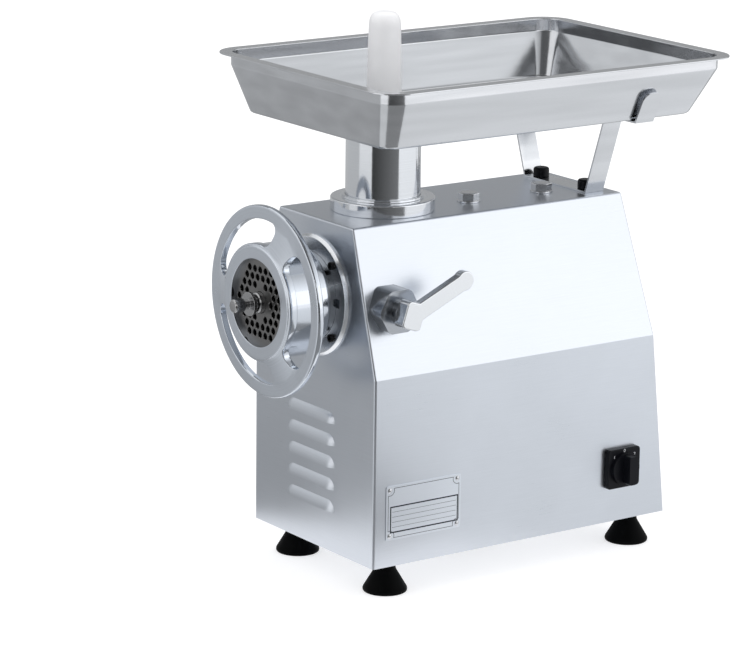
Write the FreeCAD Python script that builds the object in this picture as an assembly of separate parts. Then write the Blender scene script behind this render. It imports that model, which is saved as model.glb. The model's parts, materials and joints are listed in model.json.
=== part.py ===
import FreeCAD, Part
import math
import os

# An electric meat grinder. A folded steel casing on four rubber feet holds a motor and a two-stage
# gearbox. The gearbox turns a feed screw in a barrel that comes out of the front. A handwheel nut
# holds the perforated plate on the barrel's mouth, and a tray feeds the barrel from above.
# Millimetres. X is the width, Y the depth with the head towards -Y, and Z is up from the floor.
# The origin is on the floor, under the middle of the whole machine.

V = FreeCAD.Vector
AXIS_X = V(1, 0, 0)
AXIS_Y = V(0, 1, 0)
AXIS_Z = V(0, 0, 1)
OPEN_SPACE = 1000.0
TOLERANCE = 1e-6

# Fits
running_gap = 0.05
slip_gap = 0.15
free_gap = 0.3

# Casing
casing_width = 217.0
rear_room = 99.5
shoulder_rise = 197.0
top_width = 132.0
back_lean = 36.5
sheet = 1.5
casing_edge_radius = 2.5

# Feet
foot_height = 35.0
foot_base_radius = 23.0
foot_rim_height = 3.5
foot_edge = 1.0
foot_neck_radius = 10.8
foot_neck_height = 11.0
foot_side_inset = 28.5
foot_front_inset = 35.5
foot_rear_inset = 27.5
foot_bolt_radius = 4.0
foot_bolt_depth = 20.0
foot_bolt_head_radius = 7.0
foot_bolt_head_height = 5.0

# Vents in the casing
louvre_count = 5
louvre_width = 85.6
louvre_height = 11.3
louvre_depth = 4.2
louvre_pitch = 23.4
louvre_rise = 43.0
louvre_offset = -4.2
rear_slot_count = 6
rear_slot_length = 70.0
rear_slot_width = 6.0
rear_slot_pitch = 14.0
rear_slot_rise = 110.0
base_slot_count = 5
base_slot_length = 60.0
base_slot_width = 6.0
base_slot_pitch = 16.0

# Screws that hold the rear panel
rear_screw_radius = 2.5
rear_screw_head_radius = 4.8
rear_screw_head_height = 2.6
rear_screw_length = 10.0
rear_screw_edge = 9.0
rear_screw_rows = 3

# Barrel and the socket that carries it
barrel_bore_radius = 40.0
barrel_wall = 5.7
barrel_back_wall = 10.0
bell_wall = 3.35
bell_length = 44.0
plate_ledge = 4.0
plate_seat_depth = 6.0
socket_wall = 6.3
socket_flange_rim = 0.5
socket_front_flange = 8.0
socket_back_wall = 8.0
socket_bolt_radius = 3.0
socket_bolt_head_radius = 4.5
socket_bolt_head_height = 5.0
socket_bolt_grip = 10.0
socket_bolt_gap = 0.45
head_flange_width = 17.3
head_flange_thickness = 4.5
head_flange_edge = 3.0
head_notch_width = 9.0
head_notch_depth = 5.0
head_screw_offset = 7.3
flange_screw_count = 4
flange_screw_start = 45.0
head_screw_radius = 2.5
head_screw_head_radius = 4.2
head_screw_head_height = 3.0
head_screw_grip = 6.0

# Handwheel nut
nut_reach = 72.1
nut_lip = 5.6
nut_lip_cover = 5.0
nut_wall = 5.4
nut_body_length = 50.0
wheel_window_width = 23.9
wheel_rim_width = 13.9
wheel_rim_thickness = 7.5
wheel_rim_edge = 1.5
wheel_setback = 9.9
wheel_web_thickness = 9.0
wheel_window_inset = 1.6
wheel_spoke_count = 3
wheel_spoke_width = 33.0
wheel_window_corner = 10.0
wheel_spoke_start = 60.0

# Perforated plate and its pin
plate_radius = 50.0
plate_thickness = 12.0
plate_hole_radius = 3.5
plate_hole_pitch = 9.6
plate_hole_rings = 4
plate_hub_radius = 17.0
plate_pin_radius = 2.0
plate_pin_length = 9.0

# Feed screw, knife and front stud
auger_gap = 0.5
auger_core_radius = 19.0
auger_pitch = 46.0
auger_flight = 6.0
auger_flight_root = 2.0
auger_journal_radius = 17.0
auger_back_gap = 1.0
drive_square = 20.0
drive_depth = 13.0
drive_floor = 3.0
knife_square = 17.0
knife_thickness = 10.0
knife_tip_gap = 3.0
knife_hub_radius = 17.0
knife_blade_width = 13.0
knife_blade_count = 4
stud_radius = 11.0
stud_hub_reach = 6.5
stud_collar_radius = 12.3
stud_collar_reach = 14.5
stud_collar_thickness = 3.5
stud_neck_radius = 5.0
stud_tip_radius = 7.0
stud_tip_length = 12.0
stud_reach = 33.0
stud_edge = 1.5

# Clamp on the right side
clamp_setback = 29.5
clamp_screw_radius = 8.0
clamp_sleeve_radius = 13.0
clamp_hex_across = 44.0
clamp_hex_corner_rise = 2.0
clamp_hex_reach = 0.5
clamp_collar_radius = 12.0
clamp_collar_length = 8.0
clamp_cross_hole_radius = 2.6
lever_hub_width = 23.0
lever_hub_height = 28.0
lever_hub_thickness = 16.0
lever_hub_corner = 5.0
lever_hub_angle = -18.0
lever_arm_thickness = 9.5
lever_arm_width = 17.5
lever_arm_length = 69.0
lever_tip_radius = 10.0
lever_angle = 24.4

# Throat
throat_setback = 83.5
tube_radius = 38.7
tube_wall = 2.2
throat_flange_width = 15.3
throat_flange_height = 13.5
throat_flange_edge = 1.0
throat_bead_width = 3.8
throat_bead_height = 2.5

# Tray
tray_rise = 89.0
tray_sheet = 1.5
tray_floor_width = 252.0
tray_floor_front = 86.5
tray_floor_back = 306.0
tray_floor_corner = 16.0
tray_top_width = 298.0
tray_top_front = 99.0
tray_top_back = 328.0
tray_top_corner = 22.0
tray_wall_height = 48.5
tray_band_height = 13.5
tray_lip = 12.0
tray_bottom_bend = 3.5
tray_collar_depth = 25.0
tray_collar_wall = 1.2

# Pusher
pusher_plunger_height = 50.0
pusher_plunger_edge = 3.0
pusher_shoulder_height = 14.0
pusher_grip_radius = 20.0
pusher_tip_radius = 16.1
pusher_height = 244.2
pusher_dome = 12.0

# Tray bracket and its knobs
bracket_inset = 26.0
bracket_width = 24.0
bracket_thickness = 2.0
bracket_shelf_start = 81.0
bracket_tab_gap = 4.0
bracket_tab_length = 35.0
bracket_tab_corner = 10.0
knob_spacing = 76.0
knob_room = 4.5
knob_radius = 8.5
knob_height = 10.0
knob_edge = 2.0
knob_stud_radius = 3.0
knob_stud_reach = 12.0
knob_rib_radius = 1.3
knob_rib_count = 10

# Bolts through the top plate
top_bolt_offset = 20.0
top_bolt_radius = 6.0
top_bolt_across = 19.0
top_bolt_head = 8.0
top_bolt_length = 26.0
top_washer_radius = 12.0
top_washer_thickness = 2.0

# Gears. The tooth's height above the pitch circle is the gear's module
gear_tooth_height = 2.5
pressure_angle = 20.0
gear_root_gap = 0.625
gear_backlash = 0.3
output_gear_teeth = 54
counter_pinion_teeth = 22
counter_gear_teeth = 54
motor_pinion_teeth = 18
output_gear_width = 28.0
counter_gear_width = 20.0
pinion_overhang = 1.0

# Gearbox
gearbox_front_floor = 3.0
gearbox_cover_floor = 1.0
gearbox_wall = 5.0
gearbox_tip_gap = 2.0
gearbox_top_gap = 1.5
gearbox_foot_radius = 36.0
gearbox_pad_width = 34.0
first_stage_start = 8.0
stage_gap = 14.0
last_stage_gap = 8.0
gearbox_screw_radius = 2.0
gearbox_screw_head_radius = 3.8
gearbox_screw_head_height = 4.0
gearbox_screw_grip = 12.0

# Shafts, bearings and the oil seal
output_shaft_radius = 17.5
output_cup_radius = 20.5
output_bearing_radius = 36.0
output_bearing_width = 15.0
counter_shaft_radius = 15.0
counter_bearing_radius = 31.0
counter_bearing_width = 14.0
motor_shaft_radius = 12.5
motor_bearing_radius = 26.0
motor_bearing_width = 12.0
bearing_shield_depth = 0.6
bearing_race = 3.5
seal_radius = 27.0
shaft_end_gap = 1.0

# Motor
motor_radius = 70.0
motor_shell = 5.0
motor_shell_length = 114.0
motor_rear_bell = 16.0
motor_front_bell = 14.0
stator_bore_radius = 37.0
stator_length = 70.0
air_gap = 0.5
winding_length = 15.0
winding_margin = 3.0
winding_edge = 3.75
fan_gap = 4.0
fan_room = 7.0
fan_width = 13.0
fan_radius = 58.0
fan_hub_radius = 18.0
fan_blade_count = 7
fan_blade_thickness = 2.5
cradle_width = 96.0
cradle_length = 74.0
cradle_floor = 8.5
cradle_rise = 16.0

# Electrical pieces
capacitor_radius = 22.0
capacitor_height = 72.0
capacitor_edge = 2.0
capacitor_left = 55.0
capacitor_inset = 60.0
gland_left = 62.0
gland_rise = 38.0
gland_thread_radius = 8.0
gland_bore_radius = 4.5
gland_across = 22.0
gland_hex_length = 8.0
gland_cap_radius = 9.5
gland_cap_length = 10.0
gland_inside = 12.0
switch_inset = 61.8
switch_rise = 58.8
switch_side = 43.0
switch_thickness = 6.5
switch_corner = 4.0
switch_neck_radius = 14.0
switch_body_side = 42.0
switch_body_depth = 46.0
switch_stem_radius = 4.0
switch_disc_radius = 17.5
switch_disc_height = 4.0
switch_grip_width = 9.0
switch_grip_height = 11.0
switch_grip_tail = 15.5

# Nameplate
nameplate_setback = 15.0
nameplate_length = 93.5
nameplate_rise = 28.0
nameplate_height = 57.0
nameplate_thickness = 0.8
nameplate_corner = 2.0
rivet_radius = 1.5
rivet_head_radius = 2.6
rivet_head_height = 1.2
rivet_inset = 4.5
rivet_tail = 3.0

# Heights, from the motor on its cradle up through the gears to the top plate
output_spacing = gear_tooth_height * (output_gear_teeth + counter_pinion_teeth) / 2
motor_spacing = gear_tooth_height * (counter_gear_teeth + motor_pinion_teeth) / 2
large_gear_radius = gear_tooth_height * (max(output_gear_teeth, counter_gear_teeth) + 2) / 2
gearbox_half = large_gear_radius + gearbox_tip_gap + gearbox_wall
casing_bottom = foot_height
motor_axis = casing_bottom + sheet + cradle_floor + motor_radius
counter_axis = motor_axis + motor_spacing
screw_axis = counter_axis + output_spacing
casing_top = screw_axis + gearbox_half + gearbox_top_gap + sheet
casing_height = casing_top - casing_bottom
shoulder = casing_bottom + shoulder_rise
tray_floor = casing_top + tray_rise
tray_wall_top = tray_floor + tray_wall_height
tray_top = tray_wall_top + tray_band_height

# Depths, with the origin midway between the stud's tip and the back of the tray's lip
gearbox_front_wall = output_bearing_width + gearbox_front_floor
gearbox_cover_thickness = output_bearing_width + gearbox_cover_floor
gearbox_inside = first_stage_start + counter_gear_width + stage_gap + output_gear_width + last_stage_gap
motor_length = motor_front_bell + motor_shell_length + motor_rear_bell
gearbox_setback = sheet + fan_room + fan_width + fan_gap + motor_length
casing_length = gearbox_setback + gearbox_front_wall + gearbox_inside + gearbox_cover_thickness + rear_room
front_reach = nut_reach - nut_lip + stud_reach
back_reach = throat_setback + tray_top_back + tray_lip
casing_front = (front_reach - back_reach) / 2
casing_back = casing_front + casing_length
casing_middle = (casing_front + casing_back) / 2
casing_back_top = casing_back - back_lean
lean_angle = math.degrees(math.atan2(back_lean, casing_height))
nut_front = casing_front - nut_reach
plate_front = nut_front + nut_lip
plate_back = plate_front + plate_thickness
gearbox_front = casing_front + gearbox_setback
gearbox_inner_front = gearbox_front + gearbox_front_wall
gearbox_inner_back = gearbox_inner_front + gearbox_inside
gearbox_back = gearbox_inner_back + gearbox_cover_thickness
barrel_front = plate_back - plate_seat_depth
barrel_back = gearbox_front - socket_back_wall - drive_depth - drive_floor
socket_front = casing_front + sheet
head_flange_front = casing_front - head_flange_thickness
throat_y = casing_front + throat_setback
clamp_y = casing_front + clamp_setback
bracket_y = casing_back_top - bracket_inset
top_bolt_places = (gearbox_front + gearbox_front_wall / 2, gearbox_inner_back + gearbox_cover_thickness / 2)

# Widths and radii
casing_half = casing_width / 2
top_half = top_width / 2
barrel_radius = barrel_bore_radius + barrel_wall
bell_radius = plate_radius + slip_gap + bell_wall
bell_chamber_radius = plate_radius - plate_ledge
knife_radius = bell_chamber_radius - knife_tip_gap
nut_opening_radius = plate_radius - nut_lip_cover
nut_bore_radius = bell_radius + 2 * running_gap
nut_body_radius = nut_bore_radius + nut_wall
wheel_window_inner = nut_body_radius + wheel_window_inset
wheel_window_outer = wheel_window_inner + wheel_window_width
wheel_radius = wheel_window_outer + wheel_rim_width
socket_bore = barrel_radius + running_gap
socket_radius = socket_bore + socket_wall
socket_bolt_circle = socket_radius + socket_bolt_gap + socket_bolt_head_radius
socket_flange_radius = socket_bolt_circle + socket_bolt_head_radius + socket_flange_rim
head_screw_circle = barrel_radius + head_screw_offset
head_flange_radius = barrel_radius + head_flange_width
clamp_hex_corner_radius = clamp_hex_across / 2 + clamp_hex_corner_rise
tube_bore = tube_radius - tube_wall
throat_bead_radius = tube_radius + throat_bead_width
throat_flange_radius = tube_radius + throat_flange_width
bracket_foot_width = knob_spacing + 2 * (knob_radius + knob_room)


# Plain shapes

def box(x0, x1, y0, y1, z0, z1):
    return Part.makeBox(x1 - x0, y1 - y0, z1 - z0, V(x0, y0, z0))


def rod_x(radius, x0, x1, y, z):
    return Part.makeCylinder(radius, x1 - x0, V(x0, y, z), AXIS_X)


def rod_y(radius, y0, y1, z, x=0.0):
    return Part.makeCylinder(radius, y1 - y0, V(x, y0, z), AXIS_Y)


def rod_z(radius, z0, z1, x, y):
    return Part.makeCylinder(radius, z1 - z0, V(x, y, z0), AXIS_Z)


def ring_y(radius, bore, y0, y1, z):
    return rod_y(radius, y0, y1, z).cut(rod_y(bore, y0, y1, z))


def turned(profile, axis, at):
    """Revolve a closed profile of (radius, height) points, with height along the axis from a point."""
    points = [V(radius, 0, height) for radius, height in profile]
    solid = Part.Face(Part.makePolygon(points + points[:1])).revolve(V(), AXIS_Z, 360)
    if axis == AXIS_Y:
        solid.rotate(V(), AXIS_X, -90)
    if axis == AXIS_X:
        solid.rotate(V(), AXIS_Y, 90)
    solid.translate(at)
    return solid


def hexagon_x(across, x0, x1, y, z):
    """Hexagonal bar along X with flats above and below."""
    reach = across / math.sqrt(3)
    corners = [V(x0, y + reach * math.cos(turn), z + reach * math.sin(turn))
               for turn in (math.radians(60 * step) for step in range(6))]
    return Part.Face(Part.makePolygon(corners + corners[:1])).extrude(V(x1 - x0, 0, 0))


def edges_along(shape, axis):
    """Straight edges that run along an axis."""
    return [edge for edge in shape.Edges
            if isinstance(edge.Curve, Part.Line) and edge.Curve.Direction.cross(axis).Length < TOLERANCE]


def rounded_outline(width, y0, y1, corner, z):
    """Level rounded rectangle about x = 0, as a closed wire."""
    half = width / 2
    near = corner * (1 - math.sqrt(0.5))
    edges = [
        Part.LineSegment(V(-half + corner, y0, z), V(half - corner, y0, z)),
        Part.Arc(V(half - corner, y0, z), V(half - near, y0 + near, z), V(half, y0 + corner, z)),
        Part.LineSegment(V(half, y0 + corner, z), V(half, y1 - corner, z)),
        Part.Arc(V(half, y1 - corner, z), V(half - near, y1 - near, z), V(half - corner, y1, z)),
        Part.LineSegment(V(half - corner, y1, z), V(-half + corner, y1, z)),
        Part.Arc(V(-half + corner, y1, z), V(-half + near, y1 - near, z), V(-half, y1 - corner, z)),
        Part.LineSegment(V(-half, y1 - corner, z), V(-half, y0 + corner, z)),
        Part.Arc(V(-half, y0 + corner, z), V(-half + near, y0 + near, z), V(-half + corner, y0, z)),
    ]
    return Part.Wire([edge.toShape() for edge in edges])


def slot_z(length, width, z0, z1, x, y):
    """Round-ended slot cutter along X, through a level plate."""
    half = (length - width) / 2
    ends = [rod_z(width / 2, z0, z1, x + side * half, y) for side in (-1, 1)]
    return box(x - half, x + half, y - width / 2, y + width / 2, z0, z1).fuse(ends)


def flange_screw_places(radius):
    """X and Z offsets of the screws on a circle round the screw axis."""
    turns = [math.radians(flange_screw_start + 360 / flange_screw_count * step)
             for step in range(flange_screw_count)]
    return [(radius * math.cos(turn), radius * math.sin(turn)) for turn in turns]


def bolt_z(radius, length, across, head, z, x, y):
    """Hexagon-head bolt that hangs down from its seat at height z."""
    reach = across / math.sqrt(3)
    corners = [V(x + reach * math.cos(turn), y + reach * math.sin(turn), z)
               for turn in (math.radians(60 * step) for step in range(6))]
    hexagon = Part.Face(Part.makePolygon(corners + corners[:1])).extrude(V(0, 0, head))
    crown = turned([(0, 0), (reach + head, 0), (across / 2, head), (0, head)], AXIS_Z, V(x, y, z))
    return hexagon.common(crown).fuse(rod_z(radius, z - length, z, x, y))


# Casing

def casing_block(inset):
    """Solid inside the casing's faces, each face moved inwards by the inset."""
    across = [(-casing_half, casing_bottom), (casing_half, casing_bottom), (casing_half, shoulder),
              (top_half, casing_top), (-top_half, casing_top), (-casing_half, shoulder)]
    along = [(casing_front, casing_bottom), (casing_back, casing_bottom),
             (casing_back_top, casing_top), (casing_front, casing_top)]
    across_points = [V(x, -OPEN_SPACE, z) for x, z in across]
    along_points = [V(-OPEN_SPACE, y, z) for y, z in along]
    across_face = Part.Face(Part.makePolygon(across_points + across_points[:1]))
    along_face = Part.Face(Part.makePolygon(along_points + along_points[:1]))
    if inset > 0:
        across_face = across_face.makeOffset2D(-inset, 2)
        along_face = along_face.makeOffset2D(-inset, 2)
    wide = across_face.extrude(V(0, 2 * OPEN_SPACE, 0))
    deep = along_face.extrude(V(2 * OPEN_SPACE, 0, 0))
    return wide.common(deep)


def casing_panels():
    """Front, rear, base, top, right and left sheets, which meet face to face."""
    block = casing_block(0.0)
    folds = [edge for edge in block.Edges if edge.BoundBox.ZMax > casing_bottom + sheet]
    shell = block.makeFillet(casing_edge_radius, folds).cut(casing_block(sheet))
    front_zone = box(-OPEN_SPACE, OPEN_SPACE, casing_front, casing_front + sheet, 0, OPEN_SPACE)
    run = sheet / math.cos(math.radians(lean_angle))
    strip = [(casing_back - run, casing_bottom), (casing_back, casing_bottom),
             (casing_back_top, casing_top), (casing_back_top - run, casing_top)]
    strip_points = [V(-OPEN_SPACE, y, z) for y, z in strip]
    strip_face = Part.Face(Part.makePolygon(strip_points + strip_points[:1]))
    rear_zone = strip_face.extrude(V(2 * OPEN_SPACE, 0, 0))
    wrap = shell.cut(front_zone).cut(rear_zone)
    floor_top = casing_bottom + sheet
    roof_bottom = casing_top - sheet

    def part_of(x0, x1, z0, z1):
        return wrap.common(box(x0, x1, -OPEN_SPACE, OPEN_SPACE, z0, z1)).Solids[0]

    front = shell.common(front_zone).Solids[0]
    rear = shell.common(rear_zone).Solids[0]
    base = part_of(-OPEN_SPACE, OPEN_SPACE, 0, floor_top)
    top = part_of(-OPEN_SPACE, OPEN_SPACE, roof_bottom, OPEN_SPACE)
    right = part_of(0, OPEN_SPACE, floor_top, roof_bottom)
    left = part_of(-OPEN_SPACE, 0, floor_top, roof_bottom)
    return front, rear, base, top, right, left


def on_rear_panel(shape, x, rise):
    """Set a shape, made with +Y outwards from y = 0, on the rear panel's outer face."""
    placed = shape.copy()
    placed.rotate(V(), AXIS_X, lean_angle)
    placed.translate(V(x, casing_back - back_lean * rise / casing_height, casing_bottom + rise))
    return placed


def louvre_dome(edge, inset):
    """Half of a long dome over one louvre, above its straight lower edge."""
    sweep = (louvre_height ** 2 + louvre_depth ** 2) / (2 * louvre_depth)
    middle = casing_front - louvre_depth + sweep
    half = louvre_width / 2 - louvre_height
    ends = [Part.makeSphere(sweep - inset, V(louvre_offset + side * half, middle, edge)) for side in (-1, 1)]
    bar = rod_x(sweep - inset, louvre_offset - half, louvre_offset + half, middle, edge)
    zone = box(-OPEN_SPACE, OPEN_SPACE, -OPEN_SPACE, casing_front + sheet, edge, OPEN_SPACE)
    return bar.fuse(ends).common(zone)


def louvred(panel):
    """Front panel with its pressed-out louvres, each open along its lower edge."""
    for step in range(louvre_count):
        edge = casing_bottom + louvre_rise + step * louvre_pitch
        hollow = louvre_dome(edge, sheet)
        panel = panel.cut(hollow).fuse(louvre_dome(edge, 0.0).cut(hollow))
    return panel.removeSplitter()


def side_half_at(z):
    """Half width of the casing at a height."""
    if z <= shoulder:
        return casing_half
    return casing_half - (casing_half - top_half) * (z - shoulder) / (casing_top - shoulder)


def foot_places():
    reach = casing_half - foot_side_inset
    front = casing_front + foot_front_inset
    rear = casing_back - foot_rear_inset
    return {"front_right": (reach, front), "front_left": (-reach, front),
            "rear_right": (reach, rear), "rear_left": (-reach, rear)}


def make_foot(x, y):
    """Bell-shaped rubber foot with a hole for its bolt."""
    skirt_top = foot_height - foot_neck_height
    bell = turned([(0, 0), (foot_base_radius - foot_edge, 0), (foot_base_radius, foot_edge),
                   (foot_base_radius, foot_rim_height),
                   (foot_neck_radius, skirt_top), (foot_neck_radius, foot_height), (0, foot_height)],
                  AXIS_Z, V(x, y, 0))
    return bell.cut(rod_z(foot_bolt_radius + running_gap, foot_height - foot_bolt_depth, foot_height, x, y))


def make_foot_bolts():
    seat = casing_bottom + sheet
    bolts = []
    for x, y in foot_places().values():
        shank = rod_z(foot_bolt_radius, foot_height - foot_bolt_depth, seat, x, y)
        bolts.append(shank.fuse(rod_z(foot_bolt_head_radius, seat, seat + foot_bolt_head_height, x, y)))
    return Part.makeCompound(bolts)


def rear_screw_places():
    """X and rise of the screws down both edges of the rear panel."""
    low = rear_screw_edge
    high = casing_height - rear_screw_edge
    places = []
    for step in range(rear_screw_rows):
        rise = low + (high - low) * step / (rear_screw_rows - 1)
        reach = side_half_at(casing_bottom + rise) - rear_screw_edge
        places += [(reach, rise), (-reach, rise)]
    return places


def make_rear_panel(panel):
    for step in range(rear_slot_count):
        slot = slot_z(rear_slot_length, rear_slot_width, -2 * sheet, 2 * sheet, 0, 0)
        slot.rotate(V(), AXIS_X, 90)
        panel = panel.cut(on_rear_panel(slot, 0, rear_slot_rise + step * rear_slot_pitch))
    screw_hole = rod_y(rear_screw_radius + running_gap, -2 * sheet, 2 * sheet, 0)
    for x, rise in rear_screw_places():
        panel = panel.cut(on_rear_panel(screw_hole, x, rise))
    gland_hole = rod_y(gland_thread_radius + running_gap, -2 * sheet, 2 * sheet, 0)
    return panel.cut(on_rear_panel(gland_hole, -gland_left, gland_rise))


def make_rear_screws():
    screw = rod_y(rear_screw_head_radius, 0, rear_screw_head_height, 0)
    rim = [edge for edge in screw.Edges if edge.BoundBox.YMin > rear_screw_head_height / 2]
    screw = screw.makeFillet(rear_screw_head_height / 2, rim)
    screw = screw.fuse(rod_y(rear_screw_radius, -rear_screw_length, 0, 0))
    return Part.makeCompound([on_rear_panel(screw, x, rise) for x, rise in rear_screw_places()])


def make_base_plate(plate):
    for x, y in foot_places().values():
        plate = plate.cut(rod_z(foot_bolt_radius + running_gap, 0, foot_height + 2 * sheet, x, y))
    for step in range(base_slot_count):
        y = casing_middle + (step - (base_slot_count - 1) / 2) * base_slot_pitch
        plate = plate.cut(slot_z(base_slot_length, base_slot_width, 0, foot_height + 2 * sheet, 0, y))
    return plate


def knob_places():
    return {"right": knob_spacing / 2, "left": -knob_spacing / 2}


def make_top_plate(plate):
    low = casing_top - 2 * sheet
    high = casing_top + sheet
    plate = plate.cut(rod_z(tube_radius + free_gap, low, high, 0, throat_y))
    for y in top_bolt_places:
        plate = plate.cut(rod_z(top_bolt_radius + running_gap, low, high, top_bolt_offset, y))
    for x in knob_places().values():
        plate = plate.cut(rod_z(knob_stud_radius + running_gap, low, high, x, bracket_y))
    return plate


def make_top_bolts():
    """Two bolts, each with its washer, that hang the gearbox from the top plate."""
    pieces = []
    x = top_bolt_offset
    for y in top_bolt_places:
        seat = casing_top + top_washer_thickness
        pieces.append(bolt_z(top_bolt_radius, top_bolt_length, top_bolt_across, top_bolt_head, seat, x, y))
        washer = rod_z(top_washer_radius, casing_top, seat, x, y)
        pieces.append(washer.cut(rod_z(top_bolt_radius + running_gap, casing_top, seat, x, y)))
    return Part.makeCompound(pieces)


# Head

def make_barrel():
    """Barrel with a threaded bell for the plate, a throat hole above and a wall behind."""
    body = rod_y(barrel_radius, barrel_front, barrel_back, screw_axis)
    body = body.fuse(rod_y(bell_radius, barrel_front, barrel_front + bell_length, screw_axis))
    chamber_back = plate_back + knife_thickness + 2 * free_gap
    bore_back = barrel_back - barrel_back_wall
    for radius, y0, y1 in ((plate_radius + slip_gap, barrel_front, plate_back),
                           (bell_chamber_radius, plate_back, chamber_back),
                           (barrel_bore_radius, chamber_back, bore_back),
                           (auger_journal_radius + running_gap, bore_back, barrel_back)):
        body = body.cut(rod_y(radius, y0, y1, screw_axis))
    body = body.cut(rod_z(tube_bore, screw_axis, screw_axis + bell_radius, 0, throat_y))
    pin_z = screw_axis - plate_radius
    return body.cut(rod_y(plate_pin_radius + running_gap, plate_back - OPEN_SPACE, plate_pin_back(), pin_z))


def plate_pin_back():
    return plate_back - plate_seat_depth + plate_pin_length


def make_plate_pin():
    return rod_y(plate_pin_radius, barrel_front, plate_pin_back(), screw_axis - plate_radius)


def make_grinder_plate():
    """Plate with a hexagonal field of holes round its hub and a notch for the pin."""
    plate = ring_y(plate_radius, stud_radius + running_gap, plate_front, plate_back, screw_axis)
    holes = []
    row_step = plate_hole_pitch * math.sqrt(3) / 2
    for row in range(-plate_hole_rings, plate_hole_rings + 1):
        count = 2 * plate_hole_rings + 1 - abs(row)
        for place in range(count):
            x = (place - (count - 1) / 2) * plate_hole_pitch
            z = row * row_step
            if math.hypot(x, z) > plate_hub_radius:
                holes.append(rod_y(plate_hole_radius, plate_front, plate_back, screw_axis + z, x))
    pin_hole = rod_y(plate_pin_radius + slip_gap, plate_front, plate_back, screw_axis - plate_radius)
    return plate.cut(Part.makeCompound(holes + [pin_hole]))


def make_socket():
    """Sleeve from the front panel to the gearbox that carries the barrel."""
    wall_front = gearbox_front - socket_back_wall
    flange_back = socket_front + socket_front_flange
    body = rod_y(socket_radius, socket_front, gearbox_front, screw_axis)
    body = body.fuse(rod_y(socket_flange_radius, socket_front, flange_back, screw_axis))
    body = body.fuse(rod_y(socket_flange_radius, wall_front, gearbox_front, screw_axis))
    body = body.cut(rod_y(socket_bore, socket_front, wall_front, screw_axis))
    body = body.cut(rod_y(seal_radius + running_gap, wall_front, gearbox_front, screw_axis))
    body = body.cut(rod_z(tube_radius + slip_gap, screw_axis, screw_axis + OPEN_SPACE, 0, throat_y))
    body = body.cut(rod_x(clamp_screw_radius + free_gap, 0, OPEN_SPACE, clamp_y, screw_axis))
    grip_back = socket_front + head_screw_grip
    for x, z in flange_screw_places(head_screw_circle):
        body = body.cut(rod_y(head_screw_radius + running_gap, socket_front, grip_back, screw_axis + z, x))
    for x, z in flange_screw_places(socket_bolt_circle):
        body = body.cut(rod_y(socket_bolt_radius + running_gap, wall_front, gearbox_front, screw_axis + z, x))
    return body


def make_socket_bolts():
    bolts = []
    seat = gearbox_front - socket_back_wall
    for x, z in flange_screw_places(socket_bolt_circle):
        shank = rod_y(socket_bolt_radius, seat, gearbox_front + socket_bolt_grip, screw_axis + z, x)
        head = rod_y(socket_bolt_head_radius, seat - socket_bolt_head_height, seat, screw_axis + z, x)
        bolts.append(shank.fuse(head))
    return Part.makeCompound(bolts)


def make_head_flange():
    """Polished ring round the barrel on the front panel, with a notch on its right side."""
    flange = turned([(barrel_radius + running_gap, 0), (head_flange_radius, 0),
                     (head_flange_radius, head_flange_edge - head_flange_thickness),
                     (head_flange_radius - head_flange_edge, -head_flange_thickness),
                     (barrel_radius + running_gap, -head_flange_thickness)],
                    AXIS_Y, V(0, casing_front, screw_axis))
    for x, z in flange_screw_places(head_screw_circle):
        flange = flange.cut(rod_y(head_screw_radius + running_gap, head_flange_front, casing_front,
                                  screw_axis + z, x))
    return flange.cut(box(0, barrel_radius + head_notch_depth, head_flange_front, casing_front,
                          screw_axis - head_notch_width / 2, screw_axis + head_notch_width / 2))


def make_head_screws():
    screws = []
    for x, z in flange_screw_places(head_screw_circle):
        shank = rod_y(head_screw_radius, head_flange_front, socket_front + head_screw_grip, screw_axis + z, x)
        top = head_flange_front - head_screw_head_height
        head = rod_y(head_screw_head_radius, top, head_flange_front, screw_axis + z, x)
        socket = rod_y(head_screw_radius / 2, top, head_flange_front - head_screw_head_height / 3,
                       screw_axis + z, x)
        screws.append(shank.fuse(head).cut(socket))
    return Part.makeCompound(screws)


def make_front_panel(panel):
    panel = louvred(panel)
    panel = panel.cut(rod_y(barrel_radius + free_gap, casing_front, socket_front, screw_axis))
    for x, z in flange_screw_places(head_screw_circle):
        hole = rod_y(head_screw_radius + running_gap, casing_front, socket_front, screw_axis + z, x)
        panel = panel.cut(hole)
    return panel


def wheel_window(middle_turn):
    """Cutter for one window between two spokes, with round corners."""
    spoke_turn = math.degrees(wheel_spoke_width / ((wheel_window_inner + wheel_window_outer) / 2))
    sweep = 360 / wheel_spoke_count - spoke_turn
    depth = wheel_setback + wheel_rim_thickness + nut_body_length
    sector = Part.makeCylinder(wheel_window_outer, depth, V(), AXIS_Y, sweep)
    sector = sector.cut(rod_y(wheel_window_inner, 0, depth, 0))
    sector = sector.makeFillet(wheel_window_corner, edges_along(sector, AXIS_Y)).Solids[0]
    lead = sector.CenterOfMass
    turn = math.degrees(math.atan2(lead.z, lead.x))
    sector.rotate(V(), AXIS_Y, turn - middle_turn)
    sector.translate(V(0, nut_front, screw_axis))
    return sector


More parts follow.
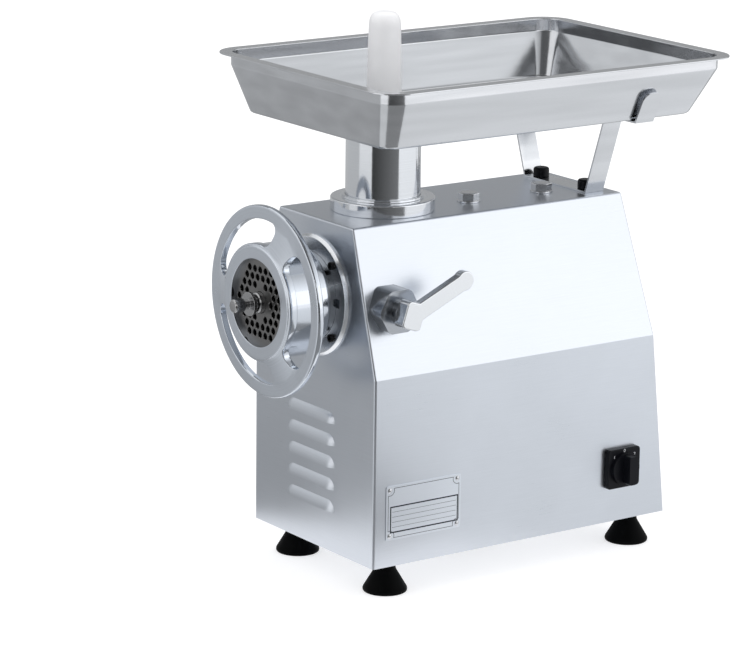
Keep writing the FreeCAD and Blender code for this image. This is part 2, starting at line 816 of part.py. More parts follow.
def make_handwheel_nut():
    """Ring nut with a dished three-spoke wheel. Its lip presses the plate into the barrel."""
    rim_front = wheel_setback
    rim_back = wheel_setback + wheel_rim_thickness
    edge = wheel_rim_edge
    nut = turned([(nut_opening_radius, 0), (nut_body_radius - edge, 0), (nut_body_radius, edge),
                  (wheel_window_outer, rim_front), (wheel_radius - edge, rim_front),
                  (wheel_radius, rim_front + edge), (wheel_radius, rim_back - edge),
                  (wheel_radius - edge, rim_back), (wheel_window_outer, rim_back),
                  (nut_body_radius, edge + wheel_web_thickness), (nut_body_radius, nut_body_length - edge),
                  (nut_body_radius - edge, nut_body_length), (nut_bore_radius, nut_body_length),
                  (nut_bore_radius, nut_lip), (nut_opening_radius, nut_lip)],
                 AXIS_Y, V(0, nut_front, screw_axis))
    for step in range(wheel_spoke_count):
        between = wheel_spoke_start + 360 / wheel_spoke_count * (step + 0.5)
        nut = nut.cut(wheel_window(between))
    return nut


# Feed screw and drive

def square_y(side, y0, y1):
    return box(-side / 2, side / 2, y0, y1, screw_axis - side / 2, screw_axis + side / 2)


def auger_span():
    """Back and front of the flighted length."""
    front = plate_back + knife_thickness + 2 * free_gap
    return front + free_gap, barrel_back - barrel_back_wall - auger_back_gap


def make_auger():
    """Feed screw with one helical flight, a journal and a square tang behind, and a square nose."""
    front, back = auger_span()
    core = rod_y(auger_core_radius, front, back, screw_axis)
    radius = barrel_bore_radius - auger_gap
    length = back - front - auger_flight
    helix = Part.makeHelix(auger_pitch, length, radius)
    root = auger_core_radius - auger_flight_root
    half = auger_flight / 2
    section = Part.makePolygon([V(root, 0, -half), V(radius, 0, -half), V(radius, 0, half),
                                V(root, 0, half), V(root, 0, -half)])
    flight = Part.Wire(helix).makePipeShell([section], True, True)
    flight.rotate(V(), AXIS_X, -90)
    flight.translate(V(0, front + half, screw_axis))
    tang_back = barrel_back + drive_depth
    journal = rod_y(auger_journal_radius, back, barrel_back, screw_axis)
    nose = square_y(knife_square, plate_back + free_gap, front)
    body = core.fuse([flight, journal, square_y(drive_square, barrel_back, tang_back), nose])
    return body.cut(rod_y(stud_neck_radius + running_gap, plate_back, front + auger_core_radius, screw_axis))


def make_knife():
    """Cross knife with a square hole, behind the plate."""
    front = plate_back + free_gap
    back = front + knife_thickness
    knife = rod_y(knife_hub_radius, front, back, screw_axis)
    for step in range(knife_blade_count):
        blade = box(0, knife_radius, front, back, -knife_blade_width / 2, knife_blade_width / 2)
        blade.rotate(V(), AXIS_Y, 360 / knife_blade_count * step)
        blade.translate(V(0, 0, screw_axis))
        knife = knife.fuse(blade.common(rod_y(knife_radius, front, back, screw_axis)))
    return knife.removeSplitter().cut(square_y(knife_square + 2 * running_gap, front, back))


def make_front_stud():
    """Turned stud in the screw's nose, which runs in the plate and ends in a collar and a tip."""
    tip = -stud_reach
    collar_back = -stud_collar_reach + stud_collar_thickness
    root = plate_back - plate_front + free_gap
    anchor = root + auger_core_radius
    profile = [(0, tip), (stud_tip_radius - stud_edge, tip), (stud_tip_radius, tip + stud_edge),
               (stud_tip_radius, tip + stud_tip_length), (stud_neck_radius, tip + stud_tip_length),
               (stud_neck_radius, -stud_collar_reach), (stud_collar_radius, -stud_collar_reach),
               (stud_collar_radius, collar_back), (stud_neck_radius + stud_edge, collar_back),
               (stud_neck_radius + stud_edge, -stud_hub_reach), (stud_radius - stud_edge, -stud_hub_reach),
               (stud_radius, stud_edge - stud_hub_reach), (stud_radius, root - free_gap),
               (stud_neck_radius, root - free_gap), (stud_neck_radius, anchor), (0, anchor)]
    return turned(profile, AXIS_Y, V(0, plate_front, screw_axis))


def stage_spans():
    """Y spans of the first gear pair, next to the motor, and of the second pair behind it."""
    first = gearbox_inner_front + first_stage_start
    second = first + counter_gear_width + stage_gap
    return (first, first + counter_gear_width), (second, second + output_gear_width)


def tooth_half_angle(teeth, radius):
    """Half the angle that one tooth covers at a radius, from the involute."""
    pitch_radius = gear_tooth_height * teeth / 2
    base_radius = pitch_radius * math.cos(math.radians(pressure_angle))

    def involute(at_radius):
        turn = math.acos(min(1.0, base_radius / at_radius))
        return math.tan(turn) - turn

    half = math.pi / (2 * teeth) - gear_backlash / (4 * pitch_radius)
    return half + involute(pitch_radius) - involute(max(radius, base_radius))


def make_gear(teeth, y0, y1, axis_z, start):
    """Spur gear about an axis along Y. Its first tooth points up, turned on by the start angle."""
    pitch_radius = gear_tooth_height * teeth / 2
    tip = pitch_radius + gear_tooth_height
    root = pitch_radius - gear_tooth_height - gear_root_gap
    mid = pitch_radius

    def point(radius, turn):
        return V(radius * math.sin(turn), y0, axis_z + radius * math.cos(turn))

    edges = []
    step = 2 * math.pi / teeth
    for tooth in range(teeth):
        centre = start + tooth * step
        low, middle, high = [tooth_half_angle(teeth, radius) for radius in (root, mid, tip)]
        rise = [point(root, centre - low), point(mid, centre - middle), point(tip, centre - high)]
        fall = [point(tip, centre + high), point(mid, centre + middle), point(root, centre + low)]
        following = point(root, centre + step - low)
        edges += [Part.Arc(*rise), Part.LineSegment(rise[2], fall[0]), Part.Arc(*fall),
                  Part.LineSegment(fall[2], following)]
    wire = Part.Wire([edge.toShape() for edge in edges])
    return Part.Face(wire).extrude(V(0, y1 - y0, 0))


def make_output_shaft():
    """Shaft with a cup that drives the feed screw's tang."""
    cup_front = barrel_back + free_gap
    seal_front = gearbox_front - socket_back_wall
    shaft = rod_y(output_shaft_radius, seal_front - free_gap, gearbox_back - shaft_end_gap, screw_axis)
    cup = rod_y(output_cup_radius, cup_front, seal_front - free_gap, screw_axis)
    hollow = square_y(drive_square + 2 * slip_gap, cup_front, barrel_back + drive_depth + free_gap)
    return shaft.fuse(cup).cut(hollow)


def make_output_gear():
    y0, y1 = stage_spans()[1]
    gear = make_gear(output_gear_teeth, y0, y1, screw_axis, 0.0)
    return gear.cut(rod_y(output_shaft_radius + running_gap, y0, y1, screw_axis))


def make_pinion_shaft():
    """Countershaft with the pinion cut on it."""
    y0, y1 = stage_spans()[1]
    front = gearbox_inner_front - counter_bearing_width
    back = gearbox_inner_back + counter_bearing_width
    shaft = rod_y(counter_shaft_radius, front, back, counter_axis)
    pinion = make_gear(counter_pinion_teeth, y0 - pinion_overhang, y1 + pinion_overhang, counter_axis,
                       math.pi / counter_pinion_teeth)
    return shaft.fuse(pinion)


def make_counter_gear():
    y0, y1 = stage_spans()[0]
    gear = make_gear(counter_gear_teeth, y0, y1, counter_axis, 0.0)
    return gear.cut(rod_y(counter_shaft_radius + running_gap, y0, y1, counter_axis))


def make_bearing(radius, bore, y0, width, axis_z):
    """Sealed ball bearing as one ring, with a sunk shield between its races on both faces."""
    inner = bore + bearing_race
    outer = radius - bearing_race
    sunk = bearing_shield_depth
    profile = [(bore, 0), (inner, 0), (inner, sunk), (outer, sunk), (outer, 0), (radius, 0),
               (radius, width), (outer, width), (outer, width - sunk), (inner, width - sunk),
               (inner, width), (bore, width)]
    return turned(profile, AXIS_Y, V(0, y0, axis_z))


def gearbox_bearing_seats():
    """Radius, bore, front, width and axis of each bearing in the gearbox."""
    out = (output_bearing_radius, output_shaft_radius + running_gap)
    counter = (counter_bearing_radius, counter_shaft_radius + running_gap)
    front = gearbox_inner_front
    back = gearbox_inner_back
    return ((*out, front - output_bearing_width, output_bearing_width, screw_axis),
            (*out, back, output_bearing_width, screw_axis),
            (*counter, front - counter_bearing_width, counter_bearing_width, counter_axis),
            (*counter, back, counter_bearing_width, counter_axis))


# Gearbox

def gearbox_outline(inset, y):
    """Closed outline round the three shafts, wide above and narrow at the motor pinion."""
    upper = gearbox_half - inset
    lower = gearbox_foot_radius - inset
    fall = (upper - lower) / (counter_axis - motor_axis)
    side = math.sqrt(1 - fall * fall)

    def point(radius, axis_z, across, up):
        return V(radius * across, y, axis_z + radius * up)

    half = math.sin(math.asin(fall) / 2)
    flat = math.cos(math.asin(fall) / 2)
    top = [point(upper, screw_axis, across, up) for across, up in ((1, 0), (0, 1), (-1, 0))]
    foot = [point(lower, motor_axis, across, up) for across, up in ((-side, -fall), (0, -1), (side, -fall))]
    left = [point(upper, counter_axis, -across, up) for across, up in ((1, 0), (flat, -half), (side, -fall))]
    right = [point(upper, counter_axis, across, up) for across, up in ((side, -fall), (flat, -half), (1, 0))]
    arcs = (top, left, foot, right)
    edges = []
    for arc, following in zip(arcs, arcs[1:] + arcs[:1]):
        edges += [Part.Arc(*arc), Part.LineSegment(arc[-1], following[0])]
    return Part.Face(Part.Wire([edge.toShape() for edge in edges]))


def gearbox_screw_places():
    """X and Z of the cover screws, in the middle of the housing's wall."""
    upper = gearbox_half - gearbox_wall / 2
    lower = gearbox_foot_radius - gearbox_wall / 2
    slant = upper * math.sqrt(0.5)
    right = [(slant, screw_axis + slant), (upper, (screw_axis + counter_axis) / 2), (upper, counter_axis)]
    right.append((lower * math.sqrt(0.5), motor_axis - lower * math.sqrt(0.5)))
    return right + [(-x, z) for x, z in right]


def top_pad(y0, y1):
    """Block on top of the gearbox that reaches the top plate."""
    half = gearbox_pad_width / 2
    return box(top_bolt_offset - half, top_bolt_offset + half, y0, y1,
               screw_axis + output_bearing_radius + gearbox_wall, casing_top - sheet)


def top_bolt_hole(y):
    return rod_z(top_bolt_radius + running_gap, casing_top + top_washer_thickness - top_bolt_length,
                 casing_top, top_bolt_offset, y)


def make_gearbox_housing():
    """Cast housing, open behind, with seats for the front bearings."""
    block = gearbox_outline(0.0, gearbox_front).extrude(V(0, gearbox_inner_back - gearbox_front, 0))
    block = block.fuse(top_pad(gearbox_front, gearbox_inner_front))
    block = block.cut(gearbox_outline(gearbox_wall, gearbox_inner_front).extrude(V(0, gearbox_inside, 0)))
    for radius, _, y0, width, axis_z in gearbox_bearing_seats()[::2]:
        block = block.cut(rod_y(radius + running_gap, y0, y0 + width, axis_z))
    block = block.cut(rod_y(output_shaft_radius + free_gap, gearbox_front, gearbox_inner_front, screw_axis))
    block = block.cut(rod_y(motor_bearing_radius + free_gap, gearbox_front, gearbox_inner_front, motor_axis))
    block = block.cut(top_bolt_hole(top_bolt_places[0]))
    grip_back = gearbox_front + socket_bolt_grip
    for x, z in flange_screw_places(socket_bolt_circle):
        hole = rod_y(socket_bolt_radius + running_gap, gearbox_front, grip_back, screw_axis + z, x)
        block = block.cut(hole)
    for x, z in gearbox_screw_places():
        block = block.cut(rod_y(gearbox_screw_radius + running_gap, gearbox_inner_back - gearbox_screw_grip,
                                gearbox_inner_back, z, x))
    return block


def make_gearbox_cover():
    """Thick rear cover with seats for the rear bearings."""
    cover = gearbox_outline(0.0, gearbox_inner_back).extrude(V(0, gearbox_cover_thickness, 0))
    cover = cover.fuse(top_pad(gearbox_inner_back, gearbox_back))
    for radius, _, y0, width, axis_z in gearbox_bearing_seats()[1::2]:
        cover = cover.cut(rod_y(radius + running_gap, y0, y0 + width, axis_z))
    cover = cover.cut(top_bolt_hole(top_bolt_places[1]))
    for x, z in gearbox_screw_places():
        cover = cover.cut(rod_y(gearbox_screw_radius + running_gap, gearbox_inner_back, gearbox_back, z, x))
    return cover


def make_gearbox_screws():
    screws = []
    for x, z in gearbox_screw_places():
        shank = rod_y(gearbox_screw_radius, gearbox_inner_back - gearbox_screw_grip, gearbox_back, z, x)
        head = rod_y(gearbox_screw_head_radius, gearbox_back, gearbox_back + gearbox_screw_head_height, z, x)
        screws.append(shank.fuse(head))
    return Part.makeCompound(screws)


def make_output_seal():
    return ring_y(seal_radius, output_shaft_radius + running_gap, gearbox_front - socket_back_wall,
                  gearbox_front, screw_axis)


# Motor

shell_back = gearbox_front - motor_rear_bell
shell_front = shell_back - motor_shell_length
bell_front = shell_front - motor_front_bell
stator_middle = (shell_front + shell_back) / 2
fan_back = bell_front - fan_gap
fan_front = fan_back - fan_width


def motor_bearing_fronts():
    """Front faces of the bearings in the front and the rear end bell."""
    return shell_front - motor_bearing_width, shell_back


def make_motor_bell(y0, y1, bearing_front):
    """End bell with a bearing seat that is open towards the rotor."""
    bell = rod_y(motor_radius, y0, y1, motor_axis)
    bell = bell.cut(rod_y(motor_shaft_radius + free_gap, y0, y1, motor_axis))
    bearing_back = bearing_front + motor_bearing_width
    return bell.cut(rod_y(motor_bearing_radius + running_gap, bearing_front, bearing_back, motor_axis))


def make_motor_bearings():
    bore = motor_shaft_radius + running_gap
    return Part.makeCompound([make_bearing(motor_bearing_radius, bore, y0, motor_bearing_width, motor_axis)
                              for y0 in motor_bearing_fronts()])


def make_stator_core():
    half = stator_length / 2
    return ring_y(motor_radius - motor_shell - running_gap, stator_bore_radius,
                  stator_middle - half, stator_middle + half, motor_axis)


def make_stator_windings():
    """Ring of end turns at each end of the stator core."""
    inner = stator_bore_radius + winding_margin
    outer = motor_radius - motor_shell - winding_margin
    rings = []
    for y0 in (stator_middle - stator_length / 2 - winding_length, stator_middle + stator_length / 2):
        ring = ring_y(outer, inner, y0, y0 + winding_length, motor_axis)
        rings.append(ring.makeFillet(winding_edge, ring.Edges[:1] + ring.Edges[2:3]))
    return Part.makeCompound(rings)


def make_rotor_shaft():
    """Motor shaft with the pinion cut on its rear end."""
    y0, y1 = stage_spans()[0]
    shaft = rod_y(motor_shaft_radius, fan_front, y1 + pinion_overhang, motor_axis)
    return shaft.fuse(make_gear(motor_pinion_teeth, y0 - pinion_overhang, y1 + pinion_overhang, motor_axis,
                                math.pi / motor_pinion_teeth))


def make_rotor_core():
    return ring_y(stator_bore_radius - air_gap, motor_shaft_radius + running_gap,
                  stator_middle - stator_length / 2, stator_middle + stator_length / 2, motor_axis)


def make_cooling_fan():
    fan = rod_y(fan_hub_radius, fan_front, fan_back, motor_axis)
    for step in range(fan_blade_count):
        blade = box(0, fan_radius, fan_front, fan_back, -fan_blade_thickness / 2, fan_blade_thickness / 2)
        blade.rotate(V(), AXIS_Y, 360 / fan_blade_count * step)
        blade.translate(V(0, 0, motor_axis))
        fan = fan.fuse(blade)
    return fan.cut(rod_y(motor_shaft_radius + running_gap, fan_front, fan_back, motor_axis))


def make_motor_cradle():
    """Saddle between the base plate and the motor's shell."""
    seat = casing_bottom + sheet
    block = box(-cradle_width / 2, cradle_width / 2, stator_middle - cradle_length / 2,
                stator_middle + cradle_length / 2, seat, motor_axis - motor_radius + cradle_rise)
    return block.cut(rod_y(motor_radius + running_gap, -OPEN_SPACE, OPEN_SPACE, motor_axis))


# Clamp

hex_front = casing_half + clamp_hex_reach
collar_end = hex_front + free_gap + clamp_collar_length
lever_front = collar_end + lever_hub_thickness


def make_clamp_boss():
    """Sleeve from the socket through the side panel, with a hexagonal head outside."""
    hexagon = hexagon_x(clamp_hex_across, 0, hex_front, clamp_y, screw_axis)
    hexagon = hexagon.common(rod_x(clamp_hex_corner_radius, 0, hex_front, clamp_y, screw_axis))
    hexagon = hexagon.cut(casing_block(0.0))
    sleeve = rod_x(clamp_sleeve_radius, 0, hex_front, clamp_y, screw_axis)
    sleeve = sleeve.cut(rod_y(socket_radius + running_gap, socket_front, gearbox_front, screw_axis))
    sleeve = sleeve.cut(rod_y(socket_flange_radius + running_gap, socket_front,
                              socket_front + socket_front_flange, screw_axis))
    boss = hexagon.fuse(sleeve).removeSplitter()
    return boss.cut(rod_x(clamp_screw_radius + running_gap, 0, hex_front, clamp_y, screw_axis))


def make_clamp_screw():
    """Screw that presses on the barrel, with a cross-drilled collar outside."""
    screw = rod_x(clamp_screw_radius, barrel_radius + free_gap, lever_front - lever_arm_thickness,
                  clamp_y, screw_axis)
    collar = rod_x(clamp_collar_radius, hex_front + free_gap, collar_end, clamp_y, screw_axis)
    hole = rod_y(clamp_cross_hole_radius, clamp_y - 2 * clamp_collar_radius, clamp_y - clamp_screw_radius,
                 screw_axis, (hex_front + free_gap + collar_end) / 2)
    return screw.fuse(collar).cut(hole)


def make_clamp_lever():
    """Lever with a block hub and a flat arm that widens into a round tip."""
    hub = box(collar_end, lever_front, -lever_hub_width / 2, lever_hub_width / 2,
              -lever_hub_height / 2, lever_hub_height / 2)
    hub = hub.makeFillet(lever_hub_corner, edges_along(hub, AXIS_X))
    hub.rotate(V(), AXIS_X, lever_hub_angle)
    back = lever_front - lever_arm_thickness
    arm = box(back, lever_front, 0, lever_arm_length, -lever_arm_width / 2, lever_arm_width / 2)
    arm = arm.fuse(rod_x(lever_tip_radius, back, lever_front, lever_arm_length, 0))
    arm.rotate(V(), AXIS_X, lever_angle)
    lever = hub.fuse(arm)
    lever.translate(V(0, clamp_y, screw_axis))
    return lever.cut(rod_x(clamp_screw_radius + running_gap, collar_end, back, clamp_y, screw_axis))


def make_right_panel(panel):
    panel = panel.cut(rod_x(clamp_sleeve_radius + running_gap, 0, OPEN_SPACE, clamp_y, screw_axis))
    panel = panel.cut(rod_x(switch_neck_radius + running_gap, 0, OPEN_SPACE, switch_y, switch_z))
    for y, z in rivet_places():
        panel = panel.cut(rod_x(rivet_radius + running_gap, 0, OPEN_SPACE, y, z))
    return panel


# Throat, tray and pusher

def make_throat_flange():
    """Ring on the top plate with a small bead where the tube comes out."""
    bore = tube_radius + slip_gap
    edge = throat_flange_edge
    profile = [(bore, 0), (throat_flange_radius, 0), (throat_flange_radius, throat_flange_height - edge),
               (throat_flange_radius - edge, throat_flange_height),
               (throat_bead_radius, throat_flange_height),
               (throat_bead_radius, throat_flange_height + throat_bead_height),
               (bore, throat_flange_height + throat_bead_height)]
    return turned(profile, AXIS_Z, V(0, throat_y, casing_top))


def make_feed_tube():
    """Tube from the barrel's throat hole up to the tray, with a saddle end on the barrel."""
    tube = rod_z(tube_radius, screw_axis, tray_floor, 0, throat_y)
    tube = tube.cut(rod_z(tube_bore, screw_axis, tray_floor, 0, throat_y))
    return tube.cut(rod_y(barrel_radius + running_gap, -OPEN_SPACE, OPEN_SPACE, screw_axis))


def tray_outline(share, inset, z):
    """Tray outline between the floor, share 0, and the top of the sloped walls, share 1."""
    def between(low, high):
        return low + (high - low) * share

    width = between(tray_floor_width, tray_top_width) - 2 * inset
    front = throat_y - between(tray_floor_front, tray_top_front) + inset
    back = throat_y + between(tray_floor_back, tray_top_back) - inset
    return rounded_outline(width, front, back, between(tray_floor_corner, tray_top_corner) - inset, z)


def tray_body(inset):
    """Solid inside the tray's walls and band, moved inwards by the sheet on the inside."""
    bend = tray_bottom_bend
    floor_z = tray_floor + inset
    curve = bend * (1 - math.sqrt(0.5))
    sections = [tray_outline(0.0, bend + inset, floor_z),
                tray_outline(curve / tray_wall_height, curve + inset, floor_z + curve),
                tray_outline(bend / tray_wall_height, inset, floor_z + bend),
                tray_outline(1.0, inset, tray_wall_top)]
    walls = Part.makeLoft(sections, True, True)
    band = Part.Face(tray_outline(1.0, inset, tray_wall_top)).extrude(V(0, 0, tray_band_height))
    return walls.fuse(band)


def make_tray():
    """Tray with sloped walls, an upright band, an outward lip and a collar in the feed tube."""
    lip = Part.Face(tray_outline(1.0, -tray_lip, tray_top - tray_sheet)).extrude(V(0, 0, tray_sheet))
    tray = tray_body(0.0).fuse(lip).cut(tray_body(tray_sheet))
    collar_radius = tube_bore - free_gap
    collar_bore = collar_radius - tray_collar_wall
    collar = rod_z(collar_radius, tray_floor - tray_collar_depth, tray_floor + tray_sheet, 0, throat_y)
    tray = tray.fuse(collar)
    return tray.cut(rod_z(collar_bore, tray_floor - tray_collar_depth, tray_floor + tray_sheet, 0, throat_y))


def make_pusher():
    """Plastic pusher with a plunger that fills the tube and a tapered grip with a domed end."""
    plunger = tube_bore - free_gap - tray_collar_wall - auger_gap
    low = screw_axis + barrel_bore_radius - auger_gap + free_gap
    edge = pusher_plunger_edge
    shoulder = pusher_plunger_height + pusher_shoulder_height
    dome_start = pusher_height - pusher_dome
    bulge = pusher_dome * math.sqrt(0.5)
    profile = [(0, 0), (plunger - edge, 0), (plunger, edge), (plunger, pusher_plunger_height - edge),
               (plunger - edge, pusher_plunger_height), (pusher_grip_radius, shoulder),
               (pusher_tip_radius, dome_start),
               (pusher_tip_radius - pusher_dome + bulge, dome_start + bulge),
               (pusher_tip_radius - pusher_dome, pusher_height), (0, pusher_height)]
    return turned(profile, AXIS_Z, V(0, throat_y, low))


# Bracket

def bracket_path():
    """X and Z points of the bracket's upper face, from the middle to the right-hand tab."""
    floor_half = tray_floor_width / 2 + bracket_tab_gap
    slope = (tray_top_width - tray_floor_width) / 2 / tray_wall_height
    rise = bracket_tab_length / math.sqrt(1 + slope * slope)
    return [(bracket_foot_width / 2, casing_top + bracket_thickness), (bracket_shelf_start, tray_floor),
            (floor_half, tray_floor), (floor_half + rise * slope, tray_floor + rise)]


def offset_path(path, distance):
    """Open path moved to its right-hand side, with mitred corners."""
    moved = []
    normals = []
    for (x0, z0), (x1, z1) in zip(path, path[1:]):
        length = math.hypot(x1 - x0, z1 - z0)
        normals.append(((z1 - z0) / length, (x0 - x1) / length))
    for index, (x, z) in enumerate(path):
        before = normals[max(index - 1, 0)]
        after = normals[min(index, len(normals) - 1)]
        scale = distance / (1 + before[0] * after[0] + before[1] * after[1])
        moved.append((x + scale * (before[0] + after[0]), z + scale * (before[1] + after[1])))
    return moved


def make_tray_bracket():
    """Bent strip on the top plate that carries the back of the tray between two round-ended tabs."""
    right = bracket_path()
    path = [(-x, z) for x, z in reversed(right)] + right
    outline = path + offset_path(path, bracket_thickness)[::-1]
    points = [V(x, bracket_y - bracket_width / 2, z) for x, z in outline]
    strip = Part.Face(Part.makePolygon(points + points[:1])).extrude(V(0, bracket_width, 0))
    tip = right[-1][1]
    ends = [edge for edge in strip.Edges if edge.BoundBox.ZMax > tip - TOLERANCE]
    corners = [edge for edge in ends
               if edge.BoundBox.YLength < TOLERANCE and edge.Length < 2 * bracket_thickness]
    strip = strip.makeFillet(bracket_tab_corner, corners)
    high = casing_top + 2 * bracket_thickness
    for x in knob_places().values():
        strip = strip.cut(rod_z(knob_stud_radius + running_gap, casing_top, high, x, bracket_y))
    return strip


def make_bracket_knob(x):
    """Ribbed knob on a stud through the bracket and the top plate."""
    seat = casing_top + bracket_thickness
    knob = turned([(0, 0), (knob_radius, 0), (knob_radius, knob_height - knob_edge),
                   (knob_radius - knob_edge, knob_height), (0, knob_height)], AXIS_Z, V(x, bracket_y, seat))
    for step in range(knob_rib_count):
        turn = 2 * math.pi * step / knob_rib_count
        knob = knob.cut(rod_z(knob_rib_radius, seat + knob_edge, seat + knob_height,
                              x + knob_radius * math.cos(turn), bracket_y + knob_radius * math.sin(turn)))
    return knob.fuse(rod_z(knob_stud_radius, seat - knob_stud_reach, seat, x, bracket_y))


# Electrical pieces and the nameplate

switch_y = casing_back - switch_inset
switch_z = casing_bottom + switch_rise
switch_front = casing_half + switch_thickness


def make_switch_plate():
    plate = box(casing_half, switch_front, switch_y - switch_side / 2, switch_y + switch_side / 2,
                switch_z - switch_side / 2, switch_z + switch_side / 2)
    plate = plate.makeFillet(switch_corner, edges_along(plate, AXIS_X))
    return plate.cut(rod_x(switch_stem_radius + running_gap, casing_half, switch_front, switch_y, switch_z))


def make_switch_body():
    """Contact block behind the side panel, with a neck through it."""
    inner = casing_half - sheet
    half = switch_body_side / 2
    block = box(inner - switch_body_depth, inner, switch_y - half, switch_y + half,
                switch_z - half, switch_z + half)
    block = block.fuse(rod_x(switch_neck_radius, inner, casing_half, switch_y, switch_z))
    return block.cut(rod_x(switch_stem_radius + running_gap, inner - switch_body_depth / 2, casing_half,
                           switch_y, switch_z))


def make_switch_knob():
    """Pointer knob, a disc with a raised grip, on a stem into the contact block."""
    seat = switch_front + free_gap
    knob = rod_x(switch_disc_radius, seat, seat + switch_disc_height, switch_y, switch_z)
    half = switch_grip_width / 2
    top = seat + switch_disc_height + switch_grip_height
    grip = box(seat, top, switch_y - half, switch_y + half,
               switch_z - switch_grip_tail, switch_z + switch_grip_tail)
    grip = grip.makeFillet(half / 2, edges_along(grip, AXIS_X))
    stem_end = casing_half - sheet - switch_body_depth / 2 + free_gap
    stem = rod_x(switch_stem_radius, stem_end, seat, switch_y, switch_z)
    return knob.fuse([grip, stem])


def make_capacitor():
    can = rod_z(capacitor_radius, casing_bottom + sheet, casing_bottom + sheet + capacitor_height,
                -capacitor_left, casing_back - capacitor_inset)
    top = [edge for edge in can.Edges if edge.BoundBox.ZMin > casing_bottom + capacitor_height / 2]
    return can.makeFillet(capacitor_edge, top)


def make_cable_gland():
    """Cable inlet through the rear panel, with an empty bore."""
    gland = hexagon_x(gland_across, 0, gland_hex_length, 0, 0)
    gland.rotate(V(), AXIS_Z, 90)
    gland = gland.fuse([rod_y(gland_cap_radius, gland_hex_length, gland_hex_length + gland_cap_length, 0),
                        rod_y(gland_thread_radius, -gland_inside, 0, 0)])
    gland = gland.cut(rod_y(gland_bore_radius, -gland_inside, gland_hex_length + gland_cap_length, 0))
    return on_rear_panel(gland, -gland_left, gland_rise)


nameplate_y = casing_front + nameplate_setback
nameplate_z = casing_bottom + nameplate_rise


def rivet_places():
    """Y and Z of the rivet in each corner of the nameplate."""
    near = rivet_inset
    return [(y, z) for y in (nameplate_y + near, nameplate_y + nameplate_length - near)
            for z in (nameplate_z + near, nameplate_z + nameplate_height - near)]


def make_nameplate():
    """Blank plate on the right side, held by rivets."""
    plate = box(casing_half, casing_half + nameplate_thickness, nameplate_y, nameplate_y + nameplate_length,
                nameplate_z, nameplate_z + nameplate_height)
    plate = plate.makeFillet(nameplate_corner, edges_along(plate, AXIS_X))
    for y, z in rivet_places():
        plate = plate.cut(rod_x(rivet_radius + running_gap, 0, OPEN_SPACE, y, z))
    return plate


def make_rivets():
    seat = casing_half + nameplate_thickness
    rivets = []
    for y, z in rivet_places():
        shank = rod_x(rivet_radius, casing_half - sheet - rivet_tail, seat, y, z)
        crown = rivet_head_radius - rivet_head_height
        head = turned([(0, 0), (rivet_head_radius, 0), (crown, rivet_head_height), (0, rivet_head_height)],
                      AXIS_X, V(seat, y, z))
        rivets.append(shank.fuse(head))
    return Part.makeCompound(rivets)


# Every piece under its node's name

def all_pieces():
    front, rear, base, top, right, left = casing_panels()
    front_bearing, rear_bearing = motor_bearing_fronts()
    pieces = {
        "front_panel": make_front_panel(front),
        "rear_panel": make_rear_panel(rear),
        "base_plate": make_base_plate(base),
        "top_plate": make_top_plate(top),
        "right_side_panel": make_right_panel(right),
        "left_side_panel": left,
        "foot_bolts": make_foot_bolts(),
        "rear_panel_screws": make_rear_screws(),
        "top_bolts": make_top_bolts(),
        "barrel": make_barrel(),
        "plate_pin": make_plate_pin(),
        "grinder_plate": make_grinder_plate(),
        "head_socket": make_socket(),
        "socket_bolts": make_socket_bolts(),
        "head_flange": make_head_flange(),
        "head_flange_screws": make_head_screws(),
        "handwheel_nut": make_handwheel_nut(),
        "feed_screw": make_auger(),
        "knife": make_knife(),
        "front_stud": make_front_stud(),
        "output_shaft": make_output_shaft(),
        "output_gear": make_output_gear(),
        "output_seal": make_output_seal(),
        "pinion_shaft": make_pinion_shaft(),
        "counter_gear": make_counter_gear(),
        "gearbox_bearings": Part.makeCompound([make_bearing(*seat) for seat in gearbox_bearing_seats()]),
        "gearbox_housing": make_gearbox_housing(),
        "gearbox_cover": make_gearbox_cover(),
        "gearbox_screws": make_gearbox_screws(),
        "motor_shell": ring_y(motor_radius, motor_radius - motor_shell, shell_front, shell_back, motor_axis),
        "motor_front_bell": make_motor_bell(bell_front, shell_front, front_bearing),
        "motor_rear_bell": make_motor_bell(shell_back, gearbox_front, rear_bearing),
        "motor_bearings": make_motor_bearings(),
        "stator_core": make_stator_core(),
        "stator_windings": make_stator_windings(),
        "rotor_shaft": make_rotor_shaft(),
        "rotor_core": make_rotor_core(),
        "cooling_fan": make_cooling_fan(),
        "motor_cradle": make_motor_cradle(),
        "start_capacitor": make_capacitor(),
        "cable_gland": make_cable_gland(),
        "clamp_boss": make_clamp_boss(),
        "clamp_screw": make_clamp_screw(),
        "clamp_lever": make_clamp_lever(),
        "throat_flange": make_throat_flange(),
        "feed_tube": make_feed_tube(),
        "tray": make_tray(),
        "pusher": make_pusher(),
        "tray_bracket": make_tray_bracket(),
        "switch_plate": make_switch_plate(),
        "switch_body": make_switch_body(),
        "switch_knob": make_switch_knob(),
        "nameplate": make_nameplate(),
        "nameplate_rivets": make_rivets(),
    }
    for side, (x, y) in foot_places().items():
        pieces["foot_" + side] = make_foot(x, y)
    for side, x in knob_places().items():
        pieces["bracket_knob_" + side] = make_bracket_knob(x)
    return pieces


os.makedirs("parts", exist_ok=True)
for node, piece in all_pieces().items():
    piece.exportStep("parts/" + node + ".step")
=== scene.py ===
"""Looks of an electric meat grinder: finishes, detailed pieces, a plain studio and the camera."""

import json
import logging
import math
from dataclasses import dataclass
from enum import Enum
from typing import Iterable, Sequence

import bmesh
import bpy
from mathutils import Matrix, Vector

